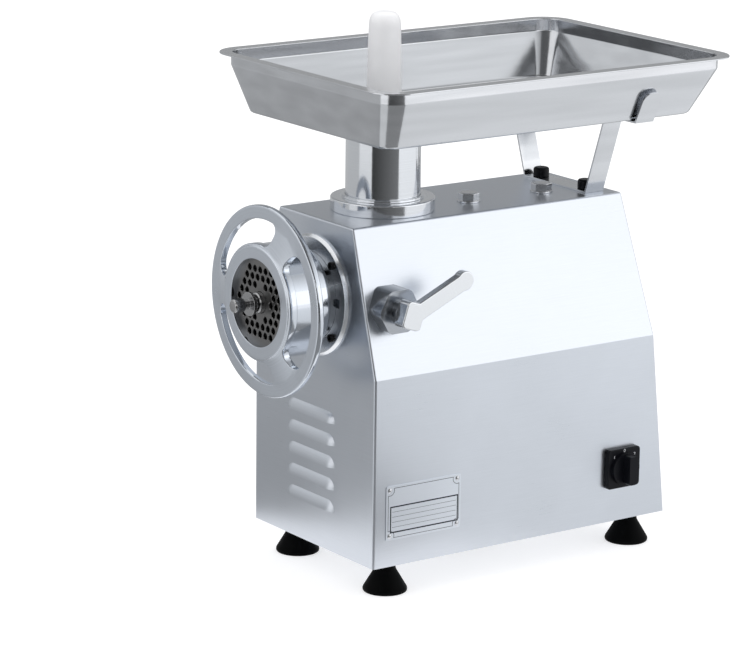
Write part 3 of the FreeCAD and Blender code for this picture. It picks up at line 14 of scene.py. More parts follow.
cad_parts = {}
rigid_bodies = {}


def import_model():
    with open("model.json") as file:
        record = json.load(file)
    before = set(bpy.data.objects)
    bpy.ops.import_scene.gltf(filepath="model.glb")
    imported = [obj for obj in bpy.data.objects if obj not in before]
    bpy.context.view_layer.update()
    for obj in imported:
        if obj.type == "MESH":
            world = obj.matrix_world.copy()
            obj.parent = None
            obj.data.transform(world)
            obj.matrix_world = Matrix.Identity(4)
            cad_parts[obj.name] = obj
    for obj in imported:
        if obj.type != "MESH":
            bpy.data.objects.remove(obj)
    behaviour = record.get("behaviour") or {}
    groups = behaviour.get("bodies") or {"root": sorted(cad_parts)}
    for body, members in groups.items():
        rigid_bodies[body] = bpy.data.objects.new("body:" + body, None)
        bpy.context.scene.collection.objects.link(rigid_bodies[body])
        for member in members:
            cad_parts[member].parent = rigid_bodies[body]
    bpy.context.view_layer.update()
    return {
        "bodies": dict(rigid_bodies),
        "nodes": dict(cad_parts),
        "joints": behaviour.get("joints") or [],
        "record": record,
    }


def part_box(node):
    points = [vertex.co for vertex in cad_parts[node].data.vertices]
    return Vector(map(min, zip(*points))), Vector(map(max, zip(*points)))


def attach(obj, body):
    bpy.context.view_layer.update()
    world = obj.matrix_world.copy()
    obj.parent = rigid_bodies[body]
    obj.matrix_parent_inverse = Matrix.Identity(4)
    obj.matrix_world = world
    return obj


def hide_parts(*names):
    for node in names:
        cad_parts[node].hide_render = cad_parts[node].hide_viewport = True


Triple = tuple[float, float, float]
Colour = Triple
Line = list[tuple[float, float]]

LOG = logging.getLogger("grinder")
MM = 0.001
QUARTER = math.pi / 2
ORIGIN = Vector((0.0, 0.0, 0.0)).freeze()

# Steps round turned pieces, and along a rounded corner
STEPS = 96
SCREW_STEPS = 36
PIN_STEPS = 24
FLUTE_STEPS = 16
ARC_STEPS = 5

# Largest share of a side that a rounded corner takes, length of its support, and least cosine of a mitre
ARC_LIMIT = 0.42
ARC_SUPPORT = 0.12
MITRE_LIMIT = 0.5

# Angles in degrees, and the distance in metres within which points are merged
SMOOTH_ANGLE = 32.0
BEVEL_ANGLE = 35.0
FLAT_ANGLE = 0.8
MERGE = 1e-6

# Sockets of node trees, and the colour sockets of a Mix node
NUMBER = "NodeSocketFloat"
WHOLE = "NodeSocketInt"
VECTOR = "NodeSocketVector"
GEOMETRY = "NodeSocketGeometry"
OBJECT = "NodeSocketObject"
MATERIAL = "NodeSocketMaterial"
MIX_FIRST = 6
MIX_SECOND = 7
MIX_RESULT = 2


class Axis(Enum):
    """Axis of a turned piece."""

    X = 0
    Y = 1
    Z = 2

    def point(self, first: float, second: float, along: float) -> Vector:
        """Point beside the axis.

        Args:
            first: Offset along the next axis in cyclic order.
            second: Offset along the one after that.
            along: Place on the axis itself.

        Returns:
            The point as x, y and z.
        """
        place = Vector((0.0, 0.0, 0.0))
        place[self.value] = along
        place[(self.value + 1) % 3] = first
        place[(self.value + 2) % 3] = second
        return place


class Body(Enum):
    """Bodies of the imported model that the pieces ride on."""

    CABINET = "cabinet"
    FEED = "feed_drive"
    HANDWHEEL = "handwheel"
    CLAMP = "clamp"
    SWITCH = "switch"
    TRAY = "tray"
    PUSHER = "pusher"
    RIGHT_KNOB = "right_knob"
    LEFT_KNOB = "left_knob"


class Slot(Enum):
    """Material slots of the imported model."""

    CASING = "casing_steel"
    TRAY = "tray_steel"
    POLISHED = "polished_steel"
    PLATE = "plate_steel"
    FASTENER = "fastener_steel"
    BLACK_SCREW = "black_screw"
    BLACK_PLASTIC = "black_plastic"
    FOOT = "foot_rubber"
    PUSHER = "pusher_plastic"
    CAST = "cast_aluminium"
    SOCKET = "cast_socket"
    GEAR = "gear_steel"
    SEAL = "seal_rubber"
    MOTOR = "motor_paint"
    CORE = "core_steel"
    COPPER = "winding_copper"
    FAN = "fan_plastic"
    CAPACITOR = "capacitor_can"
    NAMEPLATE = "nameplate_metal"


# Meshes


def rounded(corners: Sequence[Vector], fillets: Sequence[float], closed: bool) -> list[tuple[Vector, int]]:
    """Rounds the corners of a path, with a support point on the straight beside each round.

    Args:
        corners: Corners of the path, in any dimension.
        fillets: Length taken from both sides of each corner.
        closed: Whether the last corner leads back to the first.

    Returns:
        Points of the rounded path, each with the index of its corner.
    """
    points: list[tuple[Vector, int]] = []
    last = len(corners) - 1
    for index, corner in enumerate(corners):
        if fillets[index] <= 0 or (not closed and index in (0, last)):
            points.append((corner.copy(), index))
            continue
        before = corners[index - 1] - corner
        after = corners[(index + 1) % len(corners)] - corner
        start = corner + before * min(fillets[index] / before.length, ARC_LIMIT)
        end = corner + after * min(fillets[index] / after.length, ARC_LIMIT)
        points.append((start + (start - corner) * ARC_SUPPORT, index))
        for step in range(ARC_STEPS + 1):
            share = step / ARC_STEPS
            point = start * (1 - share) ** 2 + corner * (2 * share * (1 - share)) + end * share ** 2
            points.append((point, index))
        points.append((end + (end - corner) * ARC_SUPPORT, index))
    return points


def new_object(name: str, mesh: bpy.types.Mesh) -> bpy.types.Object:
    """Adds a mesh to the scene.

    Args:
        name: Name of the object.
        mesh: Its mesh, already in place.

    Returns:
        The object, at the origin.
    """
    piece = bpy.data.objects.new(name, mesh)
    bpy.context.scene.collection.objects.link(piece)
    return piece


def shade(mesh: bpy.types.Mesh, angle: float = SMOOTH_ANGLE) -> None:
    """Shades a mesh smooth, with edges above an angle in degrees kept sharp."""
    mesh.shade_smooth()
    mesh.set_sharp_from_angle(angle=math.radians(angle))


def object_from(name: str, work: bmesh.types.BMesh, angle: float = SMOOTH_ANGLE) -> bpy.types.Object:
    """Turns a finished edit mesh into an object with its faces outwards.

    Args:
        name: Name of the object.
        work: Edit mesh, which is freed.
        angle: Limit of smooth shading in degrees.

    Returns:
        The object.
    """
    bmesh.ops.recalc_face_normals(work, faces=work.faces)
    mesh = bpy.data.meshes.new(name)
    work.to_mesh(mesh)
    work.free()
    shade(mesh, angle)
    return new_object(name, mesh)


def skin(work: bmesh.types.BMesh, loops: Sequence[Sequence[Vector]], closed: bool) -> None:
    """Spans faces between loops of points. A loop of one point is a pole.

    Args:
        work: Edit mesh that takes the faces.
        loops: Loops in order, of one common length.
        closed: Whether the last loop leads back to the first.
    """
    rings = [[work.verts.new(point) for point in loop] for loop in loops]
    pairs = list(zip(rings, rings[1:]))
    if closed:
        pairs.append((rings[-1], rings[0]))
    for low, high in pairs:
        count = max(len(low), len(high))
        for index in range(count):
            following = (index + 1) % count
            corners = [low[index % len(low)], low[following % len(low)],
                       high[following % len(high)], high[index % len(high)]]
            work.faces.new(list(dict.fromkeys(corners)))


@dataclass(frozen=True)
class Turn:
    """Corner of a turned profile, in millimetres. With sides, the radius is that of a polygon's flats."""

    radius: float
    along: float
    fillet: float = 0.0
    sides: int = 0

    def reach(self, radius: float, turn: float) -> float:
        """Distance from the axis at an angle.

        Args:
            radius: Radius after rounding.
            turn: Angle about the axis.

        Returns:
            The distance, which grows towards a polygon's corners.
        """
        if not self.sides:
            return radius
        sector = 2 * math.pi / self.sides
        return radius / math.cos((turn + sector / 2) % sector - sector / 2)


Profile = Sequence[Turn]


def rounded_profile(profile: Profile, closed: bool) -> list[tuple[Vector, int]]:
    """Rounds a turned profile into points of radius and height, each with its corner's index."""
    corners = [Vector((corner.radius, corner.along)) for corner in profile]
    return rounded(corners, [corner.fillet for corner in profile], closed)


def with_shank(head: Profile, end: float) -> Profile:
    """Profile of a fastener whose shank runs on from its head's last corner to an end."""
    return [*head, Turn(head[-1].radius, end), Turn(0, end)]


def turned(name: str, profile: Profile, axis: Axis, centre: Vector, steps: int = STEPS,
           angle: float = SMOOTH_ANGLE) -> bpy.types.Object:
    """Revolves a profile into an object.

    Args:
        name: Name of the object.
        profile: Corners. It is a solid if it starts and ends on the axis, and otherwise a ring.
        axis: Axis of the turn.
        centre: Point on the axis that the profile is measured from, in metres.
        steps: Number of steps round the axis.
        angle: Limit of smooth shading in degrees.

    Returns:
        The object.
    """
    closed = profile[0].radius > 0
    loops = []
    for point, index in rounded_profile(profile, closed):
        if point.x < MERGE:
            loops.append([centre + axis.point(0, 0, point.y * MM)])
            continue
        loop = []
        for step in range(steps):
            turn = 2 * math.pi * step / steps
            reach = profile[index].reach(point.x, turn) * MM
            loop.append(centre + axis.point(reach * math.cos(turn), reach * math.sin(turn), point.y * MM))
        loops.append(loop)
    work = bmesh.new()
    skin(work, loops, closed)
    return object_from(name, work, angle)


def ribbon(work: bmesh.types.BMesh, path: Line, width: float, height: float, seat: float,
           closed: bool) -> None:
    """Adds a thin raised line on a face square to X.

    Args:
        work: Edit mesh that takes the faces.
        path: Y and Z of the line's middle, in millimetres.
        width: Width of the line.
        height: Height of the line above its seat.
        seat: X of the face that it lies on.
        closed: Whether the last point leads back to the first.
    """
    points = [Vector(point) for point in path]
    count = len(points)
    loops = []
    for index, point in enumerate(points):
        before = point - points[index - 1] if closed or index > 0 else points[1] - point
        after = points[(index + 1) % count] - point if closed or index < count - 1 else before
        lead = (before.normalized() + after.normalized()).normalized()
        mitre = Vector((-lead.y, lead.x)) * (width / 2) / max(lead.dot(after.normalized()), MITRE_LIMIT)
        inner = point - mitre
        outer = point + mitre
        loops.append([Vector((x, side.x, side.y)) * MM for side, x in
                      ((inner, seat), (outer, seat), (outer, seat + height), (inner, seat + height))])
    if not closed:
        loops.insert(0, [sum(loops[0], Vector()) / len(loops[0])])
        loops.append([sum(loops[-1], Vector()) / len(loops[-1])])
    skin(work, loops, closed)


def settled(piece: bpy.types.Object) -> bpy.types.Object:
    """Makes the result of an object's modifiers its mesh.

    Args:
        piece: Object with modifiers.

    Returns:
        The same object without modifiers.
    """
    bpy.context.view_layer.update()
    graph = bpy.context.evaluated_depsgraph_get()
    mesh = bpy.data.meshes.new_from_object(piece.evaluated_get(graph))
    piece.modifiers.clear()
    piece.data = mesh
    return piece


def softened(name: str, node: str, width: float, segments: int) -> bpy.types.Object:
    """Copy of a CAD node with rounded edges.

    Args:
        name: Name of the new object.
        node: Node to copy.
        width: Width of the bevel in millimetres.
        segments: Steps of the round.

    Returns:
        The new object.
    """
    work = bmesh.new()
    work.from_mesh(bpy.data.objects[node].data)
    bmesh.ops.remove_doubles(work, verts=work.verts, dist=MERGE)
    bmesh.ops.dissolve_limit(work, angle_limit=math.radians(FLAT_ANGLE), verts=work.verts, edges=work.edges)
    piece = object_from(name, work)
    piece.data.shade_smooth()
    bevel = piece.modifiers.new("edge", "BEVEL")
    bevel.width = width * MM
    bevel.segments = segments
    bevel.limit_method = "ANGLE"
    bevel.angle_limit = math.radians(BEVEL_ANGLE)
    bevel.use_clamp_overlap = True
    bevel.harden_normals = True
    return settled(piece)


# Node trees


class Wiring:
    """Adds nodes to a tree and links them."""

    def __init__(self, tree: bpy.types.NodeTree) -> None:
        """Keeps the tree to fill."""
        self.tree = tree

    def feed(self, node: bpy.types.Node, inputs: dict) -> bpy.types.Node:
        """Sets inputs of a node.

        Args:
            node: Node of this tree.
            inputs: Values or output sockets by the name or index of the input.

        Returns:
            The same node.
        """
        for key, value in inputs.items():
            if isinstance(value, bpy.types.NodeSocket):
                self.tree.links.new(value, node.inputs[key])
            else:
                node.inputs[key].default_value = value
        return node

    def node(self, kind: str, inputs: dict | None = None, **settings: object) -> bpy.types.Node:
        """Adds a node.

        Args:
            kind: Type of the node.
            inputs: Values or output sockets by the name or index of the input.
            settings: Properties of the node itself.

        Returns:
            The node.
        """
        made = self.tree.nodes.new(kind)
        for key, value in settings.items():
            setattr(made, key, value)
        return self.feed(made, inputs or {})

    def math(self, operation: str, *values: object) -> bpy.types.NodeSocket:
        """Adds a sum of numbers or sockets and gives its result."""
        return self.node("ShaderNodeMath", dict(enumerate(values)), operation=operation).outputs[0]

    def group(self, tree: bpy.types.NodeTree, **inputs: object) -> bpy.types.NodeSocket:
        """Places a shared shader group and gives its mask."""
        return self.node("ShaderNodeGroup", inputs, node_tree=tree).outputs[0]

    def vary(self, mask: bpy.types.NodeSocket, low: float, high: float) -> bpy.types.NodeSocket:
        """Maps a mask from 0 to 1 to a range."""
        ends = {"Value": mask, "To Min": low, "To Max": high}
        return self.node("ShaderNodeMapRange", ends).outputs[0]

    def spread(self, value: bpy.types.NodeSocket, low: float, high: float) -> bpy.types.NodeSocket:
        """Maps a range of a value to a mask from 0 to 1."""
        ends = {"Value": value, "From Min": low, "From Max": high}
        return self.node("ShaderNodeMapRange", ends).outputs[0]

    def bump(self, height: bpy.types.NodeSocket, strength: float, distance: float,
             **under: bpy.types.NodeSocket) -> bpy.types.NodeSocket:
        """Normal of a small relief, over the Normal that it may be given."""
        relief = {"Height": height, "Strength": strength, "Distance": distance, **under}
        return self.node("ShaderNodeBump", relief).outputs[0]


def emptied(owner: bpy.types.Material | bpy.types.World) -> Wiring:
    """Switches on the nodes of a material or world and clears them.

    Args:
        owner: Material or world.

    Returns:
        Its tree, to be filled.
    """
    owner.use_nodes = True
    owner.node_tree.nodes.clear()
    return Wiring(owner.node_tree)


def new_tree(name: str, kind: str, takes: dict[str, str], gives: dict[str, str]) -> bpy.types.NodeTree:
    """Makes a node group with its sockets.

    Args:
        name: Name of the group.
        kind: Type of the tree.
        takes: Type of each input socket by name.
        gives: Type of each output socket by name.

    Returns:
        The empty group.
    """
    tree = bpy.data.node_groups.new(name, kind)
    for way, sockets in (("INPUT", takes), ("OUTPUT", gives)):
        for label, socket in sockets.items():
            tree.interface.new_socket(label, in_out=way, socket_type=socket)
    return tree


class Shading:
    """Shader groups that the finishes share. They give masks only."""

    cloud_range = (0.36, 0.66)

    def __init__(self) -> None:
        """Builds the groups."""
        self.grain = self.make_grain()
        self.lathe = self.make_lathe()
        self.wear = self.make_wear()

    def start(self, name: str, size: str, kind: str) -> tuple[Wiring, bpy.types.NodeOutputs]:
        """Starts a group from a place and a size to a mask.

        Args:
            name: Name of the group.
            size: Name of the input beside the place.
            kind: Type of that input.

        Returns:
            The group's tree and its inputs.
        """
        tree = new_tree(name, "ShaderNodeTree", {"Vector": VECTOR, size: kind}, {"Mask": NUMBER})
        wires = Wiring(tree)
        return wires, wires.node("NodeGroupInput").outputs

    def make_grain(self) -> bpy.types.NodeTree:
        """Streaks of a brushed sheet.

        Returns:
            Group from a place and a stretch to a mask about one half.
        """
        wires, given = self.start("brushed_grain", "Stretch", VECTOR)
        scaled = wires.node("ShaderNodeVectorMath", {0: given["Vector"], 1: given["Stretch"]},
                            operation="MULTIPLY")
        fine = wires.node("ShaderNodeTexNoise", {"Vector": scaled.outputs[0], "Scale": 1.0, "Detail": 3.0,
                                                 "Roughness": 0.65})
        wires.node("NodeGroupOutput", {"Mask": fine.outputs[0]})
        return wires.tree

    def make_lathe(self) -> bpy.types.NodeTree:
        """Rings that a turning tool leaves about the local Z axis.

        Returns:
            Group from a place and a fineness to a mask about one half.
        """
        wires, given = self.start("turned_marks", "Fineness", NUMBER)
        parts = wires.node("ShaderNodeSeparateXYZ", {0: given["Vector"]}).outputs
        square = wires.math("ADD", wires.math("POWER", parts[0], 2.0), wires.math("POWER", parts[1], 2.0))
        reach = wires.math("ADD", wires.math("SQRT", square), parts[2])
        rings = wires.node("ShaderNodeTexNoise", {"W": wires.math("MULTIPLY", reach, given["Fineness"]),
                                                  "Scale": 1.0, "Detail": 2.0}, noise_dimensions="1D")
        wires.node("NodeGroupOutput", {"Mask": rings.outputs[0]})
        return wires.tree

    def make_wear(self) -> bpy.types.NodeTree:
        """Soft clouds of handling marks.

        Returns:
            Group from a place and a scale to a mask from 0 to 1.
        """
        wires, given = self.start("handling_marks", "Scale", NUMBER)
        clouds = wires.node("ShaderNodeTexNoise", {"Vector": given["Vector"], "Scale": given["Scale"],
                                                   "Detail": 4.0, "Roughness": 0.55, "Distortion": 0.4})
        wires.node("NodeGroupOutput", {"Mask": wires.spread(clouds.outputs[0], *self.cloud_range)})
        return wires.tree


@dataclass(frozen=True)
class Bench:
    """What a finish works with: the material's tree, object coordinates and the shared groups."""

    wires: Wiring
    place: bpy.types.NodeSocket
    shading: Shading


@dataclass(frozen=True)
class Finish:
    """Common part of every finish."""

    name: str
    colour: Colour
    roughness: float

    def build(self, shading: Shading) -> bpy.types.Material:
        """Makes the material.

        Args:
            shading: Shared groups.

        Returns:
            The material.
        """
        material = bpy.data.materials.new(self.name)
        wires = emptied(material)
        shader = wires.node("ShaderNodeBsdfPrincipled")
        wires.node("ShaderNodeOutputMaterial", {"Surface": shader.outputs[0]})
        place = wires.node("ShaderNodeTexCoord").outputs["Object"]
        wires.feed(shader, self.dress(Bench(wires, place, shading)))
        return material

    def dress(self, bench: Bench) -> dict[str, object]:
        """Gives the inputs of the material's shader by name."""
        raise NotImplementedError

    def tint(self, wires: Wiring, mask: bpy.types.NodeSocket, contrast: float) -> bpy.types.NodeSocket:
        """Varies the colour's lightness with a mask.

        Args:
            wires: Tree of the material.
            mask: Mask from 0 to 1.
            contrast: Change of lightness at both ends of the mask.

        Returns:
            The colour.
        """
        dark = tuple(part * (1 - contrast) for part in self.colour) + (1.0,)
        light = tuple(min(1.0, part * (1 + contrast)) for part in self.colour) + (1.0,)
        mix = wires.node("ShaderNodeMix", {"Factor": mask, MIX_FIRST: dark, MIX_SECOND: light},
                         data_type="RGBA")
        return mix.outputs[MIX_RESULT]

    def gloss(self, wires: Wiring, mask: bpy.types.NodeSocket, spread: float) -> bpy.types.NodeSocket:
        """Varies the roughness with a mask, by a share to both sides."""
        return wires.vary(mask, self.roughness * (1 - spread), self.roughness * (1 + spread))




@dataclass(frozen=True)
class BrushedSteel(Finish):
    """Sheet with a grain in one direction, and with long streaks where it has a swell. Depths in metres."""

    stretch: Triple = (30.0, 30.0, 2200.0)
    depth: float = 0.00002
    contrast: float = 0.07
    swell: float = 0.0
    swell_stretch: Triple = (25.0, 5.0, 60.0)
    swell_range: tuple[float, float] = (0.3, 0.7)
    cloud_share: float = 0.3
    cloud_scale: float = 7.0
    spread: float = 0.18
    grain_strength: float = 0.35

    def dress(self, bench: Bench) -> dict[str, object]:
        """Gives the inputs of the material's shader.

        Args:
            bench: Tree, coordinates and shared groups.

        Returns:
            Inputs by name.
        """
        wires = bench.wires
        grain = wires.group(bench.shading.grain, Vector=bench.place, Stretch=self.stretch)
        under = {}
        if self.swell:
            scaled = wires.node("ShaderNodeVectorMath", {0: bench.place, 1: self.swell_stretch},
                                operation="MULTIPLY")
            waves = wires.node("ShaderNodeTexNoise", {"Vector": scaled.outputs[0], "Scale": 1.0,
                                                      "Detail": 1.0}).outputs[0]
            clouds = wires.spread(waves, *self.swell_range)
            under["Normal"] = wires.bump(waves, 1.0, self.swell)
        else:
            clouds = wires.group(bench.shading.wear, Vector=bench.place, Scale=self.cloud_scale)
        mixed = wires.math("ADD", wires.math("MULTIPLY", grain, 1 - self.cloud_share),
                           wires.math("MULTIPLY", clouds, self.cloud_share))
        return {"Base Color": self.tint(wires, mixed, self.contrast),
                "Roughness": self.gloss(wires, mixed, self.spread),
                "Normal": wires.bump(grain, self.grain_strength, self.depth, **under), "Metallic": 1.0}


@dataclass(frozen=True)
class TurnedSteel(Finish):
    """Metal turned or polished about an axis, duller on the faces square to it. Lengths in metres."""

    centre: Triple = (0.0, 0.0, 0.0)
    turn: Triple = (0.0, 0.0, 0.0)
    face_roughness: float = 0.2
    fineness: float = 900.0
    depth: float = 0.000012
    contrast: float = 0.07
    cloud_scale: float = 14.0
    spread: tuple[float, float] = (0.8, 1.25)
    marks_strength: float = 0.3
    square_from: tuple[float, float] = (0.6, 0.95)

    def dress(self, bench: Bench) -> dict[str, object]:
        """Gives the inputs of the material's shader.

        Args:
            bench: Tree, coordinates and shared groups.

        Returns:
            Inputs by name.
        """
        wires = bench.wires
        local = wires.node("ShaderNodeMapping", {"Vector": bench.place, "Location": self.centre,
                                                 "Rotation": self.turn}, vector_type="TEXTURE")
        marks = wires.group(bench.shading.lathe, Vector=local.outputs[0], Fineness=self.fineness)
        clouds = wires.group(bench.shading.wear, Vector=bench.place, Scale=self.cloud_scale)
        outward = wires.node("ShaderNodeTexCoord").outputs["Normal"]
        facing = wires.node("ShaderNodeMapping", {"Vector": outward, "Rotation": self.turn},
                            vector_type="TEXTURE")
        along = wires.node("ShaderNodeSeparateXYZ", {0: facing.outputs[0]}).outputs[2]
        square = wires.spread(wires.math("ABSOLUTE", along), *self.square_from)
        base = wires.vary(square, self.roughness, self.face_roughness)
        return {"Base Color": self.tint(wires, marks, self.contrast),
                "Roughness": wires.math("MULTIPLY", base, wires.vary(clouds, *self.spread)),
                "Normal": wires.bump(marks, self.marks_strength, self.depth), "Metallic": 1.0}


@dataclass(frozen=True)
class Moulded(Finish):
    """Moulded plastic, rubber, paint or casting with a fine skin. Depths in metres."""

    skin_scale: float = 900.0
    skin_depth: float = 0.00006
    metallic: float = 0.0
    specular: float = 0.5
    translucent: float = 0.0
    contrast: float = 0.12
    cloud_scale: float = 30.0
    spread: float = 0.15
    skin_strength: float = 0.3
    scatter: float = 0.012

    def dress(self, bench: Bench) -> dict[str, object]:
        """Gives the inputs of the material's shader.

        Args:
            bench: Tree, coordinates and shared groups.

        Returns:
            Inputs by name.
        """
        wires = bench.wires
        clouds = wires.group(bench.shading.wear, Vector=bench.place, Scale=self.cloud_scale)
        grit = wires.node("ShaderNodeTexNoise", {"Vector": bench.place, "Scale": self.skin_scale,
                                                 "Detail": 2.0}).outputs[0]
        inputs = {"Base Color": self.tint(wires, clouds, self.contrast),
                  "Roughness": self.gloss(wires, clouds, self.spread),
                  "Normal": wires.bump(grit, self.skin_strength, self.skin_depth),
                  "Metallic": self.metallic, "Specular IOR Level": self.specular}
        if self.translucent:
            inputs |= {"Subsurface Weight": self.translucent, "Subsurface Radius": (1.0, 1.0, 1.0),
                       "Subsurface Scale": self.scatter}
        return inputs


# Axes that finishes are turned about, in metres and radians
SIDE_TURN: Triple = (0.0, QUARTER, 0.0)
FRONT_TURN: Triple = (QUARTER, 0.0, 0.0)
SCREW_AXIS: Triple = (0.0, 0.0, 0.300)
CLAMP_AXIS: Triple = (0.0, -0.1325, 0.300)
MOTOR_AXIS: Triple = (0.0, 0.0, 0.115)
THROAT: Triple = (0.0, -0.0785, 0.0)

FINISHES: dict[Slot, Finish] = {
    Slot.CASING: BrushedSteel("casing_steel", (0.68, 0.715, 0.77), 0.30, (26.0, 26.0, 1500.0)),
    Slot.TRAY: BrushedSteel("tray_steel", (0.67, 0.685, 0.71), 0.17, (900.0, 18.0, 900.0), 0.00001, 0.085,
                            0.0006, cloud_share=0.75),
    Slot.POLISHED: TurnedSteel("polished_steel", (0.76, 0.78, 0.81), 0.11, THROAT, face_roughness=0.11),
    # Plate: dark steel of its own, lowered further as painted shade for the shade in the nut's recess round
    # it
    Slot.PLATE: TurnedSteel("plate_steel", (0.225, 0.222, 0.22), 0.30, SCREW_AXIS, FRONT_TURN, 0.36, 1400.0),
    Slot.FASTENER: TurnedSteel("fastener_steel", (0.66, 0.67, 0.69), 0.22, face_roughness=0.26),
    Slot.BLACK_SCREW: Moulded("black_screw", (0.008, 0.008, 0.009), 0.35, specular=0.25),
    Slot.BLACK_PLASTIC: Moulded("black_plastic", (0.0045, 0.005, 0.0075), 0.36, specular=0.16),
    Slot.FOOT: Moulded("foot_rubber", (0.0016, 0.0018, 0.002), 0.5, 500.0, 0.00012, specular=0.04),
    Slot.PUSHER: Moulded("pusher_plastic", (0.95, 0.955, 0.985), 0.34, 260.0, 0.00002, translucent=0.35,
                         contrast=0.02),
    Slot.CAST: Moulded("cast_aluminium", (0.50, 0.51, 0.52), 0.5, 420.0, 0.0002, 1.0),
    Slot.SOCKET: Moulded("cast_socket", (0.42, 0.42, 0.43), 0.45, 420.0, 0.0002, 1.0),
    Slot.GEAR: TurnedSteel("gear_steel", (0.45, 0.45, 0.46), 0.3, SCREW_AXIS, FRONT_TURN, 0.34),
    Slot.SEAL: Moulded("seal_rubber", (0.09, 0.03, 0.02), 0.5),
    Slot.MOTOR: Moulded("motor_paint", (0.06, 0.07, 0.08), 0.4, 300.0, 0.0001),
    Slot.CORE: BrushedSteel("core_steel", (0.33, 0.33, 0.34), 0.4, (60.0, 2400.0, 60.0), 0.00005),
    Slot.COPPER: TurnedSteel("winding_copper", (0.62, 0.27, 0.13), 0.32, MOTOR_AXIS, FRONT_TURN, 0.35,
                             1000.0, 0.0003),
    Slot.FAN: Moulded("fan_plastic", (0.03, 0.03, 0.032), 0.45),
    Slot.CAPACITOR: BrushedSteel("capacitor_can", (0.55, 0.56, 0.58), 0.33, (700.0, 40.0, 700.0)),
    Slot.NAMEPLATE: BrushedSteel("nameplate_metal", (0.755, 0.795, 0.855), 0.36, (30.0, 20.0, 2600.0)),
}

# Finishes of single pieces
WHEEL_STEEL = TurnedSteel("wheel_steel", (0.67, 0.71, 0.77), 0.11, SCREW_AXIS, FRONT_TURN, 0.34, 1100.0)
HEAD_STEEL = TurnedSteel("head_steel", (0.80, 0.82, 0.85), 0.16, SCREW_AXIS, FRONT_TURN, 0.30, 1100.0)
# Stud: polished steel darkened as painted shade for its dark reflections
STUD_STEEL_PAINTED_SHADE = TurnedSteel("stud_steel_painted_shade", (0.42, 0.42, 0.425), 0.14, SCREW_AXIS, FRONT_TURN, 0.2, 1100.0)
BARREL_STEEL = TurnedSteel("barrel_steel", (0.42, 0.445, 0.48), 0.20, SCREW_AXIS, FRONT_TURN, 0.3, 1100.0)
LEVER_STEEL = TurnedSteel("clamp_steel", (0.84, 0.86, 0.885), 0.15, CLAMP_AXIS, SIDE_TURN, 0.2, 1000.0)
# Clamp boss and screw: a darker copy of the lever's polished steel, as painted shade for the dark
# reflections on them
CLAMP_STEEL_PAINTED_SHADE = TurnedSteel("clamp_steel_painted_shade", (0.43, 0.45, 0.48), 0.16, CLAMP_AXIS, SIDE_TURN, 0.2, 1000.0)
MARK_WHITE = Moulded("mark_white", (0.62, 0.63, 0.66), 0.5, contrast=0.06)
PLATE_INK = Moulded("plate_ink", (0.016, 0.018, 0.026), 0.5, specular=0.15)
PALE_INK = Moulded("plate_ink_pale", (0.09, 0.096, 0.115), 0.5, specular=0.15)


class Palette:
    """Materials by slot, and the few that belong to one piece only."""

    def __init__(self) -> None:
        """Builds the materials of the slots."""
        self.shading = Shading()
        self.by_slot = {slot: finish.build(self.shading) for slot, finish in FINISHES.items()}
        self.extras: dict[Finish, bpy.types.Material] = {}

    def extra(self, finish: Finish) -> bpy.types.Material:
        """Gives a material outside the slots, which is made at its first use.

        Args:
            finish: Its finish.

        Returns:
            The material.
        """
        if finish not in self.extras:
            self.extras[finish] = finish.build(self.shading)
        return self.extras[finish]

    def dress_node(self, node: bpy.types.Object, slot: str) -> None:
        """Gives a CAD node its slot's material."""
        node.data.materials.clear()
        node.data.materials.append(self.by_slot[Slot(slot)])

    def redress_node(self, node: str, finish: Finish) -> None:
        """Gives a CAD node a material of its own."""
        bpy.data.objects[node].data.materials[0] = self.extra(finish)


# Geometry node trees


